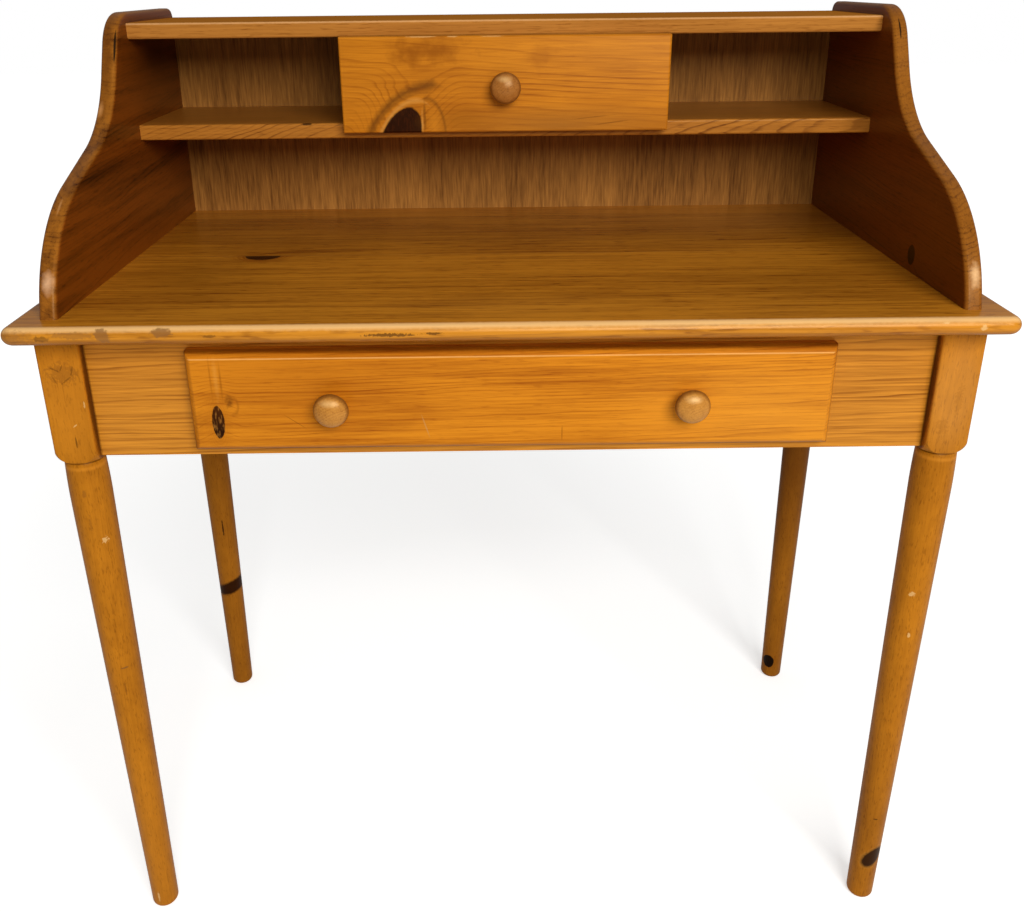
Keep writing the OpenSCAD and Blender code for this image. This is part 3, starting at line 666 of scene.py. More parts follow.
@dataclass
class DesktopBoard(Shape):
    """The writing surface: a glued board whose front and side edges are half round."""

    closed: ClassVar[bool] = False
    corner_r: float = 12.0
    nose_steps: int = 16
    corner_steps: int = 12

    def rings(self, low: np.ndarray, high: np.ndarray) -> np.ndarray:
        """Sweep a half circle round the front and the sides: each ring of the outline is drawn
        in by radius * (1 - cosine) and lifted by radius * sine of an angle from -90 to 90.

        Args:
            low: lowest corner of the box, mm.
            high: highest corner of the box, mm.

        Returns:
            The rings.
        """
        radius = (high[2] - low[2]) / 2
        x, front, rear = high[0], low[1], high[1]
        left = arc((self.corner_r - x, front + self.corner_r), self.corner_r, 180, 270,
                   self.corner_steps)
        right = arc((x - self.corner_r, front + self.corner_r), self.corner_r, 270, 360,
                    self.corner_steps)
        edge = np.vstack([[[-x, rear]], left, right, [[x, rear]]])
        inward = np.vstack([
            [[1, 0]], -arc((0, 0), 1, 180, 270, self.corner_steps),
            -arc((0, 0), 1, 270, 360, self.corner_steps), [[-1, 0]]])
        turn = np.radians(np.linspace(-90, 90, self.nose_steps + 1))
        return np.stack([
            at_height(edge + inward * radius * (1 - np.cos(t)), low[2] + radius * (1 + np.sin(t)))
            for t in turn])


@dataclass
class TurnedLeg(Shape):
    """A leg with a square block at its head, a turned shoulder and groove, and a long taper."""

    suffix: ClassVar[str] = "_turned"
    side: float = 41.0  # the square block, and the leg where its belly is widest
    arris_r: float = 2.5
    block_h: float = 135.0  # from the top down to the neck
    shoulder_w: float = 10.5  # how far the shoulder would reach out from the neck
    shoulder_h: float = 18.0
    neck_d: float = 36.0
    groove_w: float = 3.0  # from the neck down to the collar
    collar_d: float = 39.2
    belly_drop: float = 38.0  # from the collar down to the belly
    foot_d: float = 30.0
    foot_r: float = 7.0
    flat_steps: int = 16
    arris_steps: int = 6
    rows: int = 10

    def plan(self) -> np.ndarray:
        """Corners and flats of the block, seen from above, about the leg's middle."""
        half = self.side / 2
        arris = arc((half - self.arris_r,) * 2, self.arris_r, 0, 90, self.arris_steps)
        reach = math.degrees(math.atan2(arris[0, 1], arris[0, 0]))
        angle = np.radians(np.linspace(-reach, reach, self.flat_steps + 1)[1:-1])
        quarter = np.vstack([np.stack([np.full(len(angle), half), half * np.tan(angle)], 1),
                             arris])
        turns = [np.array([[math.cos(a), math.sin(a)], [-math.sin(a), math.cos(a)]])
                 for a in np.radians([0, 90, 180, 270])]
        return np.vstack([quarter @ turn for turn in turns])

    def rings(self, low: np.ndarray, high: np.ndarray) -> np.ndarray:
        """From the leg's top down. The block's walls end on the shoulder, a quarter ellipse
        turned about the leg's axis. Below the groove the radius falls off with the square of
        the height above the belly, then evenly down to the rounded foot.

        Args:
            low: lowest corner of the box, mm.
            high: highest corner of the box, mm.

        Returns:
            The rings.
        """
        middle = (low[:2] + high[:2]) / 2
        plan = self.plan()
        reach = np.linalg.norm(plan, axis=1)
        way = plan / reach[:, None]
        neck_r, neck_z = self.neck_d / 2, high[2] - self.block_h
        rows = [at_height(plan + middle, high[2])]
        for share in np.sin(np.radians(np.linspace(90, 0, self.rows))):
            out = (reach - neck_r) * share
            rise = self.shoulder_h * (1 - np.sqrt(1 - (out / self.shoulder_w) ** 2))
            rows.append(at_height(way * (neck_r + out)[:, None] + middle, neck_z + rise))
        belly_z = neck_z - self.groove_w - self.belly_drop
        share = np.linspace(1, 0, self.rows)
        swell = self.side / 2 - (self.side - self.collar_d) / 2 * share ** 2
        foot = arc((self.foot_d / 2 - self.foot_r, self.foot_r), self.foot_r, 0, -90, self.rows)
        radii = np.concatenate([swell, foot[:, 0]])
        heights = np.concatenate([belly_z + self.belly_drop * share, foot[:, 1]])
        rows += [at_height(way * r + middle, z) for r, z in zip(radii, heights)]
        return np.stack(rows)


@dataclass
class ScallopedSide(Shape):
    """A side of the gallery. Its edge is a chain of curves and straight stretches, each of
    which starts where the last one ends and in the same direction."""

    closed: ClassVar[bool] = False
    foot_lean: float = 14.5  # how far the edge leans back at its foot
    low_r: float = 151.5  # the outward curve
    slope: float = 19.0  # rise of the straight stretch above it
    slope_l: float = 73.0
    high_r: float = 136.0  # the inward curve
    lean: float = 28.5  # how far the upper straight stretch leans back
    crown_r: float = 56.0
    heel_r: float = 12.0  # the rear corner at the top
    arris_r: float = 4.5
    rebate_w: float = 8.0  # the panel's rebate, from the inner face
    curve_steps: int = 24
    arris_steps: int = 6

    def edge(self, foot: float, heel: float, height: float,
             rebate_top: float) -> tuple[np.ndarray, np.ndarray, int]:
        """The edge from the front foot round to the rear one, along Y and Z.

        Args:
            foot: where the edge starts on the desktop.
            heel: where it comes down again.
            height: height of the side above the desktop.
            rebate_top: height at which the rebate for the panel ends.

        Returns:
            The points, the directions that lead into the board from them, and the number of
            the point that is level with the top of the rebate.
        """
        rad = math.radians
        slope, lean = rad(self.slope), rad(self.lean)
        low_c = np.array([foot + self.low_r * math.cos(rad(self.foot_lean)),
                          -self.low_r * math.sin(rad(self.foot_lean))])
        across = np.array([-math.sin(slope), math.cos(slope)])
        run = np.array([math.cos(slope), math.sin(slope)])
        low_end = low_c + self.low_r * across
        high_c = low_end + self.slope_l * run + self.high_r * across
        high_end = high_c + self.high_r * np.array([math.cos(lean), -math.sin(lean)])
        crown_z = height - self.crown_r
        rise = crown_z + self.crown_r * math.sin(lean) - high_end[1]
        crown_c = np.array([high_end[0] + rise * math.tan(lean) + self.crown_r * math.cos(lean),
                            crown_z])
        heel_c = np.array([heel, height]) - self.heel_r
        level = math.degrees(math.asin((rebate_top - heel_c[1]) / self.heel_r))
        curves = [(low_c, self.low_r, 180 - self.foot_lean, 90 + self.slope, 1),
                  (high_c, self.high_r, self.slope - 90, -self.lean, -1),
                  (crown_c, self.crown_r, 180 - self.lean, 90, 1),
                  (heel_c, self.heel_r, 90, level, 1), (heel_c, self.heel_r, level, 0, 1)]
        points = [arc(c, r, a, b, self.curve_steps) for c, r, a, b, _ in curves]
        inward = [sign * (np.array(c) - p) / r for p, (c, r, _, _, sign) in zip(points, curves)]
        points[4], inward[4] = points[4][1:], inward[4][1:]
        cut = sum(len(p) for p in points[:4]) - 1
        points.append(np.array([[heel, 0.0]]))
        inward.append(np.array([[-1.0, 0.0]]))
        inward[0][0] = [1 / math.cos(rad(self.foot_lean)), 0]
        return np.vstack(points), np.vstack(inward), cut

    def rings(self, low: np.ndarray, high: np.ndarray) -> np.ndarray:
        """From the inner face to the outer one. Each ring is the edge, drawn in by the rounded
        arris: radius * (1 - sine) at a depth of radius * (1 - cosine).

        Args:
            low: lowest corner of the box, mm.
            high: highest corner of the box, mm.

        Returns:
            The rings.
        """
        hand = 1 if low[0] > 0 else -1
        panel = box_mm("gallery_back")
        panel_y, top = panel[0][1], panel[1][2] - low[2]
        edge, inward, cut = self.edge(low[1], high[1], high[2] - low[2], top)
        inner = low[0] if hand > 0 else -high[0]
        thick = high[0] - low[0]
        turn = np.radians(np.linspace(0, 90, self.arris_steps + 1))
        depth = self.arris_r * (1 - np.cos(turn))
        draw = self.arris_r * (1 - np.sin(turn))
        near = [(inner + d, s, True) for d, s in zip(depth, draw)]
        step = [(inner + self.rebate_w, 0.0, True), (inner + self.rebate_w, 0.0, False)]
        far = [(inner + thick - d, s, False) for d, s in zip(depth[::-1], draw[::-1])]
        rings = []
        for x, s, rebated in near + step + far:
            ring = edge + s * inward
            if rebated:
                ring[cut + 1:] = [panel_y, top]
                ring[-1] = [panel_y, 0.0]
            rings.append(np.column_stack([np.full(len(ring), hand * x), ring[:, 0],
                                          ring[:, 1] + low[2]]))
        return np.stack(rings)


@dataclass
class EasedBoard(Shape):
    """A plain board along X whose two front arrises are rounded."""

    arris_r: float = 2.5
    steps: int = 8

    def rings(self, low: np.ndarray, high: np.ndarray) -> np.ndarray:
        """Carry the section from end to end: two quarter circles and a square rear edge.

        Args:
            low: lowest corner of the box, mm.
            high: highest corner of the box, mm.

        Returns:
            The rings.
        """
        front = low[1] + self.arris_r
        section = np.vstack([
            arc((front, low[2] + self.arris_r), self.arris_r, 270, 180, self.steps),
            arc((front, high[2] - self.arris_r), self.arris_r, 180, 90, self.steps),
            [[high[1], high[2]], [high[1], low[2]]]])
        return np.stack([np.column_stack([np.full(len(section), x), section])
                         for x in (low[0], high[0])])


@dataclass
class BevelledFront(Shape):
    """A drawer front with a bevel all round its face, a little rounded at its foot."""

    soften: ClassVar[float] = 0.8
    width: float
    depth: float
    turn: float = 50.0  # how far the bevel's arc turns, in degrees
    steps: int = 8

    def rings(self, low: np.ndarray, high: np.ndarray) -> np.ndarray:
        """Stack rectangles: the back, then the bevel's arc, which leaves the walls straight
        forwards. At each angle t it stands width * (1 - cos t) inside them and its depth is
        what 1 - sin t leaves, both scaled to end at the bevel's full size.

        Args:
            low: lowest corner of the box, mm.
            high: highest corner of the box, mm.

        Returns:
            The rings.
        """
        left, right, bottom, top = low[0], high[0], low[2], high[2]
        corners = np.array([[left, bottom], [right, bottom], [right, top], [left, top]])
        inward = np.array([[1, 1], [-1, 1], [-1, -1], [1, -1]])
        turn = np.radians(np.linspace(0, self.turn, self.steps + 1))
        inset = self.width * (1 - np.cos(turn)) / (1 - np.cos(turn[-1]))
        depth = self.depth * (1 - np.sin(turn) / np.sin(turn[-1]))
        rows = []
        for y, s in [(high[1], 0.0), *zip(low[1] + depth, inset)]:
            ring = corners + s * inward
            rows.append(np.insert(ring, 1, y, axis=1))
        return np.stack(rows)


@dataclass
class TurnedKnob(Shape):
    """A turned knob with a waisted stem and a domed head."""

    suffix: ClassVar[str] = "_turned"
    foot_d: float = 19.0
    foot_h: float = 1.5
    neck_d: float = 14.0
    stem_h: float = 6.5
    flare_h: float = 8.0
    rim_h: float = 14.5
    rim_t: float = 1.5  # height of the eased edge below the rim
    rim_in: float = 1.0  # its width
    hollow_steps: int = 6
    steps: int = 12
    around: int = 72

    def rings(self, low: np.ndarray, high: np.ndarray) -> np.ndarray:
        """Turn the half-section about a line along Y: a foot ring, a hollow, a flare that
        widens as 1 - cosine, a small eased edge, and a dome that is a quarter ellipse.

        Args:
            low: lowest corner of the box, mm.
            high: highest corner of the box, mm.

        Returns:
            The rings.
        """
        length, radius = high[1] - low[1], (high[0] - low[0]) / 2
        neck = self.neck_d / 2
        quarter = np.radians(np.linspace(0, 90, self.steps + 1))
        hollow = arc((self.foot_d / 2, self.stem_h), self.foot_d / 2 - neck, 225, 180,
                     self.hollow_steps)
        flare = np.stack([neck + (radius - self.rim_in - neck) * (1 - np.cos(quarter)),
                          self.flare_h + (self.rim_h - self.rim_t - self.flare_h)
                          * np.sin(quarter)], 1)
        dome = np.stack([radius * np.cos(quarter),
                         self.rim_h + (length - self.rim_h) * np.sin(quarter)], 1)
        half = np.vstack([[[self.foot_d / 2, 0], [self.foot_d / 2, self.foot_h]], hollow, flare,
                          dome])
        turn = np.radians(np.arange(self.around) * 360 / self.around)
        wheel = np.stack([np.cos(turn), np.zeros(self.around), np.sin(turn)], 1)
        middle = np.array([(low[0] + high[0]) / 2, high[1], (low[2] + high[2]) / 2])
        return middle + half[:, 0, None, None] * wheel - half[:, 1, None, None] * [0, 1, 0]


# Woods of this desk

RAW_PINE = dict(light="#E2C48F", dark="#B98A4C", contrast=0.35, roughness=0.62, specular=0.2)
LEGS = dict(light="#C27818", dark="#6E3602", specular=0.1)
# The rear legs' palette is a darker copy of the legs': painted shade for legs that stand back under
# the desk.
SHADED_REAR_LEGS = dict(light="#AA6816", dark="#6A3506", specular=0.1)
TOP = dict(light="#CE8420", dark="#743806")
FRONTS = dict(light="#D4821A", dark="#8C4006")
# The gallery's second pair of tones is painted shade on the sides' broad faces.
GALLERY = dict(light="#A0601A", dark="#441C06", faces=("#84420C", "#260A00"), specular=0.2)
BEECH = dict(light="#CA8A3A", dark="#844610")
DARK_BEECH = dict(light="#B07030", dark="#6E3A0E")
PAINTED_SHADE = "#4A2004"  # painted shade: darkens corners, the legs' neck grooves, the rear legs and what lies under the desktop's nosing
PALE = "#E9BE7C"  # bare wood in a chip
DIRT = "#2A1004"
ENDLESS = 9000  # radius of a mark that runs past both ends of its board, mm
LEFT, RIGHT, FORWARD = (-1, 0, 0), (1, 0, 0), (0, -1, 0)


def raw_pine(grain: Grain) -> Pine:
    """Planed pine without lacquer, pale and dull, as inside a drawer."""
    return Pine("planed_raw_pine_" + grain.name.lower(), grain, (60, 500), ring=4,
                seed=3, **RAW_PINE)


# Sub-assemblies


@dataclass
class LegFrame:
    """Desktop, legs and aprons, with the blocks, runners and bolts under the top."""

    leg: TurnedLeg = field(default_factory=TurnedLeg)
    top: DesktopBoard = field(default_factory=DesktopBoard)

    def desktop(self) -> None:
        """The desktop, of glued staves, with a half knot at a joint and a bruised nosing that carries
        painted shade and a painted highlight.
        """
        bruise, scratch, dusk = "#8A5A2C", "#3E1D06", "#6E3A04"
        front, top, joint = -254.5, 757, -4  # tip of the nosing, writing surface, one glue joint
        nose = Face(front, deep=6).mark
        marks = (
            Mark((-330, -90, top), (110, 80, 30), dusk, 0.3, 0, 3, 1),
            Mark((310, -130, top), (150, 130, 30), dusk, 0.3, 0, 3, 1),
            Mark((0, -200, top), (170, 50, 30), "#E09A38", 0.15, 0, 3, 1),
            # Painted shade along the nosing's lower half, and a painted highlight along its upper
            # half, stronger at its right end.
            Mark((0, -252, 741.5), (ENDLESS, 14, 6.5), "#7A3E0A", 0.6, 0.2, 4, 1),
            Mark((0, -250, 756), (ENDLESS, 6, 4.5), "#FFCC86", 0.75, 0.3, 4, 0.7),
            nose(380, 750, 100, 8, "#E08A28", 0.2, 0, 3, 1),
            Mark((0, 150, top), (ENDLESS, 105, 40), "#6A3208", 0.3, 0, 3, 0.12),
            Mark((310, 150, top), (180, 110, 30), "#D08A3A", 0.2, 0, 3, 1),
            Mark((0, joint, top), (ENDLESS, 0.8, 20), "#C08838", 0.35, 0),
            nose(-447, 749, 24, 9, bruise, 0.6, 1.4, 3, 0.8, deep=8),
            nose(-420, 748, 8, 3, scratch, 0.5, 1.4),
            nose(-391, 751, 20, 3.5, bruise, 0.45, 1.6),
            nose(-366, 751, 7, 8, bruise, 0.75, shear=(-0.4, 0), deep=8),
            nose(-313, 753, 10, 5, bruise, 0.8, deep=7),
            nose(-270, 749, 7, 1.6, scratch, 0.5, 1.6),
            nose(-110, 748.5, 24, 1.8, scratch, 0.75, 2, 2, deep=5),
            nose(-70, 749.5, 10, 1.2, scratch, 0.7, 2, 2, deep=5),
            nose(388, 754, 6, 1.6, PALE, 0.6, 1.6, deep=4),
            nose(422, 749, 3, 3, PALE, 0.6, 1.6, deep=4))
        finish = Pine(
            "lacquered_pine_desktop", Grain.X, (40, 690), ring=5, contrast=0.45,
            stave=96, joint=joint, stave_tone=0.3, seed=4, slope=(0.01, 0.015),
            layers=((2.8, 60, 0.8), (9, 200, 1.1), (70, 220, 0.9)),
            dash=(2.4, 20, 0.35), roughness=0.27, specular=0.45,
            knots=(Knot((-273, joint, top), (20, 17.5, 14), keep=FORWARD, push=12,
                        stain=0.9, reach=3.6, ragged=0.1, fleck="#301404"),),
            marks=marks, **TOP)
        place_piece(self.top.build("desktop"), finish, "desk", "frame_pine", "desktop")

    def legs(self) -> None:
        """The four legs, each from its own piece of wood."""
        # The third tone below is painted light, on the blocks, the lower left leg and the bead below
        # each neck.
        rub, tick, painted_light = "#8A5218", "#7A4410", "#E08E28"
        on = Face(box_mm("leg_front_left")[0][1]).mark
        apron = box_mm("front_apron")[0][1]
        # Painted shade in the corner where a block meets the apron.
        corner = dict(tone=PAINTED_SHADE, strength=0.85, ragged=0.3)
        knots = {"leg_rear_right": (
            Knot((417, 207.5, 31.5), (8, 12, 11.5), push=3, stain=0.3, core="#120400",
                 fleck="#200A02"),)}
        marks = {
            "leg_front_left": (
                on(-426, 672, 34, 80, painted_light, 0.28, 0, soft=0.6, deep=14),
                Mark((-426, -212, 90), (40, 40, 190), painted_light, 0.35, 0, soft=1),
                Mark((-405, apron, 672), (1.6, 11.5, 90), **corner),
                # Painted shadow on the block's top, under the desktop's nosing.
                on(-426, 742, 40, 12, PAINTED_SHADE, 0.45, 0.3, soft=1, deep=14),
                on(-424, 701, 15, 11, rub, 0.42, 2.8, 3),
                on(-430, 704, 5, 0.9, DIRT, 0.4, 2.4, 2, shear=(0, -0.5)),
                on(-421, 694, 6, 1, DIRT, 0.4, 2.4, 2, shear=(0, 0.7)),
                on(-415, 703, 0.9, 5, DIRT, 0.4, 2.4, 2, shear=(0.3, 0)),
                on(-432, 693, 0.9, 4, DIRT, 0.35, 2.4, 2, shear=(-0.4, 0)),
                on(-424, 707, 0.8, 4, DIRT, 0.4, 2.4, 2, shear=(0.5, 0)),
                on(-408.5, 668, 0.9, 5, PALE, 0.5, 1.6),
                on(-421, 646.5, 2.4, 0.8, PALE, 0.6, shear=(0, 0.7)),
                on(-422.7, 629, 0.9, 8, DIRT, 0.6),
                Mark((-413.3, -214, 517), (3.5, 6, 3.5), PALE, 0.6, 2.6, 2),
                Mark((-424.5, -216, 572), (2, 5, 5), rub, 0.5, 2.2),
                Mark((-424, -216, 538), (1.4, 5, 12), rub, 0.4, 2.2),
                Mark((-417.5, -215, 358.5), (4, 6, 1.4), "#6E4A2A", 0.7, 1.2),
                Mark((-420.5, -214, 330), (1, 6, 12), tick, 0.5, 2),
                Mark((-428, -213, 20), (1.6, 6, 8), PALE, 0.6)),
            "leg_front_right": (
                # Painted light on the block; below it painted shade towards the foot, in the corner
                # and under the nosing.
                on(426, 672, 34, 80, "#E6A458", 0.22, 0, soft=0.6, deep=14),
                Mark((420, -212, 110), (40, 40, 150), PAINTED_SHADE, 0.3, 0, soft=1),
                Mark((405, apron, 672), (1.6, 11.5, 90), **corner),
                on(426, 742, 40, 14, PAINTED_SHADE, 0.6, 0.3, soft=1, deep=14),
                Mark((428, -211, 69), (15, 22, 18), "#E8A040", 0.5, 0.5, 4, 0.4, shear=(0, 0.6)),
                Mark((428, -211, 69), (13.5, 20, 16.5), "#220800", 0.97, 0.3, 4, shear=(0, 0.6)),
                Mark((418.5, -215, 441), (3.2, 5, 3.6), PALE, 0.6, 2),
                Mark((423, -215, 390), (1.6, 5, 4), PALE, 0.6, 2),
                Mark((423.2, -214, 129.5), (3, 5, 1.2), DIRT, 0.7, 1.2),
                on(419, 636, 6, 10, rub, 0.25, 2.6),
                on(430, 665, 4, 16, rub, 0.22, 2.6)),
            "leg_rear_left": (
                Mark((-415, 201, 186), (40, 60, 13), "#240800", 0.97, 0.2, shear=(0, 0.35)),
                Mark((-422, 202, 290), (1.2, 6, 16), DIRT, 0.85, 1.2)),
            "leg_rear_right": (
                # Painted shade over the whole rear right leg.
                Mark((426, 219, 500), (60, 60, 320), PAINTED_SHADE, 0.9, 0, soft=0.8),)}
        bead_drop = 6.5  # from the bottom of the block to the middle of the bead
        round_all = 60  # half the width of a band that goes round the whole leg
        for number, node in enumerate(marks):
            low, high = box_mm(node)
            middle = (low + high) / 2
            neck = (*middle[:2], high[2] - self.leg.block_h)
            bead = (*middle[:2], neck[2] - bead_drop)
            # A painted highlight on the bead below the neck, and painted shade in the neck's groove.
            groove = (Mark(bead, (round_all, round_all, 3), painted_light, 0.5, 0.3, soft=0.9),
                      Mark(neck, (round_all, round_all, 2.2), PAINTED_SHADE, 0.8, 0.3, soft=0.7))
            finish = Pine(
                f"lacquered_pine_{node}", Grain.Z, (middle[0] + 70, middle[1] + 90),
                ring=4.2, contrast=0.15, wobble=8, slope=(0.03, 0.02), seed=5 + number,
                layers=((1.8, 45, 0.35), (8, 14, 0.35), (30, 90, 0.6)),
                dash=(1.4, 7, 0.3), knots=knots.get(node, ()), marks=groove + marks[node],
                **(LEGS if "front" in node else SHADED_REAR_LEGS))
            place_piece(self.leg.build(node), finish, "desk", "frame_pine", node)

    def dress(self) -> None:
        """Finishes of the pieces that stay as CAD made them."""
        shade = dict(tone=PAINTED_SHADE, ragged=0.3, soft=0.9)
        face = box_mm("front_apron")[0][1]
        front = Pine(
            "lacquered_pine_front_apron", Grain.X, (-160, 430), ring=4.6, contrast=0.75,
            uneven=9, seed=9, slope=(0.004, 0.02), light="#D88C2A", dark="#84460A", late=0.7,
            dash=(1.3, 30, 0.15), layers=((1.7, 60, 0.8), (4, 170, 0.9), (85, 260, 0.5)),
            # Painted shadow along the apron's top under the nosing, and painted shade at its ends by
            # the blocks.
            marks=(Mark((0, face, 742), (ENDLESS, 20, 14), strength=0.75, **shade),
                   *(Mark((x, face, 672), (2, 9, 120), strength=0.9, **shade)
                     for x in (-405.5, 405.5))))
        rear = Pine("lacquered_pine_rear_apron", Grain.X, (150, 560), ring=7, seed=11, **LEGS)
        sides = Pine("lacquered_pine_side_aprons", Grain.Y, (560, 360), ring=7, seed=12, **LEGS)
        dress_nodes(front, "front_apron")
        dress_nodes(rear, "rear_apron")
        dress_nodes(sides, "left_apron", "right_apron")
        dress_nodes(raw_pine(Grain.X), "apron_dowels", "corner_blocks")
        dress_nodes(raw_pine(Grain.Y), "drawer_runner_left", "drawer_runner_right",
                    "tilt_rail_left", "tilt_rail_right")
        dress_nodes(ZincSteel(), "hanger_bolts", "bolt_washers", "bolt_nuts", "block_screws")

    def build(self) -> None:
        """Build and dress the whole frame."""
        self.desktop()
        self.legs()
        self.dress()


@dataclass
class Gallery:
    """The raised back unit: scalloped sides, shelf, cap board, dividers and plywood panel."""

    side: ScallopedSide = field(default_factory=ScallopedSide)
    board: EasedBoard = field(default_factory=EasedBoard)

    def sides(self) -> None:
        """The two scalloped sides, whose broad inner faces are darker than their edges as painted
        shade, with painted highlights on the edges.
        """
        knots = {-1: (), 1: (
            Knot((415, -95.5, 774.5), (14, 9, 10.5), core="#120500", fleck="#2A0E02",
                 halo="#7A3606", stain=0.6, collar=1.5, push=5),)}
        marks = {
            # Left: painted shade at the rear top of the inner face, and painted highlights on the edge
            # at the elbow, lower down and at the foot.
            -1: (Mark((-415, 150, 960), (8, 130, 70), "#2A0A00", 0.85, 0, soft=1),
                 Mark((-426, 60, 930), (9, 90, 120), "#5E3006", 0.7, 0, soft=0.6),
                 Mark((-428, -10, 918), (4, 14, 12), "#E0A060", 0.5, 0.3, soft=0.9),
                 Mark((-423, -160, 846), (1.6, 14, 13), "#E0A060", 0.5, 0.6, soft=0.9),
                 Mark((-417.4, 31, 979), (1.2, 30, 19), "#140803", 0.95, 0.3),
                 Mark((-422.5, -214, 787), (7, 10, 16), "#FFC896", 0.65, 0.6, 5, 0.9)),
            # Right: a painted highlight on the edge at the foot.
            1: (Mark((415, -130, 820), (8, 90, 70), "#8A4A10", 0.4, 0, soft=1),
                Mark((423, 37, 988), (1.1, 30, 12), "#140803", 0.9, 0.3),
                Mark((424.5, -216, 786), (6, 10, 19), "#FFCC90", 0.65, 0.8, 4, 0.9),
                Mark((415, -134.5, 834), (3, 1, 4), "#8A5020", 0.6))}
        for node, hand in (("gallery_side_left", -1), ("gallery_side_right", 1)):
            streaks = 0.9 - 0.5 * hand  # bolder on the left side
            finish = Pine(
                f"lacquered_pine_{node}", Grain.Y, (600, hand * 495), ring=3.8,
                contrast=0.45, late=0.5, seed=14 + hand, slope=(0.04, 0.02), wobble=26,
                layers=((2.2, 80, 0.4), (10, 260, streaks), (40, 400, streaks)),
                knots=knots[hand], marks=marks[hand], **GALLERY)
            place_piece(self.side.build(node), finish, "desk", "gallery_pine", node)

    def boards(self) -> None:
        """The shelf and the cap board."""
        shelf = Pine("lacquered_pine_shelf", Grain.X, (-170, 640), ring=4.6, contrast=0.7,
                     seed=17, slope=(0, 0.38), light="#C07A2A", dark="#6E380A", wobble=30,
                     # Painted shade over the shelf's top, under the cap.
                     marks=(Mark((0, 170, 892), (ENDLESS, 101, 2), "#5A3008", 0.3, 0),
                            Mark((-225.5, 66, 892), (7, 4, 2.6), DIRT, 0.9, 0.8)))
        place_piece(self.board.build("gallery_shelf"), shelf, "desk", "gallery_pine",
                    "gallery_shelf")
        cap = Pine("lacquered_pine_cap", Grain.X, (40, 1030), ring=4.5, contrast=0.4,
                   seed=19, light="#C17F36", dark="#7A420F", specular=0,
                   marks=(Mark((0, 160, 1001), (ENDLESS, 91.5, 1.2), "#D07A18", 0.35, 0),
                          # A painted highlight along the front top arris.
                          Mark((0, 67.8, 999.8), (ENDLESS, 1.6, 1.4), "#F6C48C", 0.4, 0.5,
                               soft=0.8)))
        place_piece(self.board.build("gallery_cap"), cap, "desk", "gallery_pine", "gallery_cap")

    def build(self) -> None:
        """Build and dress the gallery."""
        self.sides()
        self.boards()
        dividers = Pine("lacquered_pine_dividers", Grain.Z, (0, 400), seed=21, **GALLERY)
        panel = Plywood("lacquered_plywood_panel", Grain.Z, "#C0823A", "#50280A")
        dress_nodes(dividers, "divider_left", "divider_right")
        dress_nodes(panel, "gallery_back")
        dress_nodes(raw_pine(Grain.X), "gallery_dowels")
        dress_nodes(ZincSteel(), "side_screws", "back_pins")


@dataclass
class Drawer:
    """A drawer: lacquered front, turned knobs, and a raw box dowelled together."""

    body: str
    prefix: str
    front: BevelledFront
    finish: Pine
    knobs: tuple[str, ...]
    beech: dict[str, str]
    knob: TurnedKnob = field(default_factory=TurnedKnob)

    def build(self) -> None:
        """Build the front and the knobs, and dress the box."""
        front = self.prefix + "_front"
        place_piece(self.front.build(front), self.finish, self.body, "front_pine", front)
        rim, deep = 17.5, 900  # radius of the painted shade round the rim, depth that goes through the knob
        for number, node in enumerate(self.knobs):
            x, y, z = sum(box_mm(node)) / 2
            # Painted shade round the head's rim, and a painted highlight on its top.
            marks = (Mark((x, y, z), (rim, deep, rim), "#4E2404", 0.85, 0.1, 3, 0.9, shell=0.2),
                     Mark((x - 1, y, z + 10), (10, deep, 4), "#FFD28C", 0.4, 0.4, 4, 0.9))
            finish = Pine(f"lacquered_beech_{node}", Grain.Y, (z - 30, x + 20), ring=2.6,
                          contrast=0.3, wobble=3, uneven=1, seed=30 + number, roughness=0.28,
                          specular=0.4, marks=marks, **self.beech)
            place_piece(self.knob.build(node), finish, self.body, "knob_wood", node)
        bottom = Plywood("raw_plywood_bottom", Grain.X, "#D8B888", "#A87F4C", roughness=0.65)
        screws = (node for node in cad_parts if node.startswith(self.prefix + "_knob_screw"))
        dress_nodes(raw_pine(Grain.Y), self.prefix + "_side_left", self.prefix + "_side_right")
        dress_nodes(raw_pine(Grain.X), self.prefix + "_back", self.prefix + "_dowels")
        dress_nodes(bottom, self.prefix + "_bottom")
        dress_nodes(ZincSteel(), *screws)


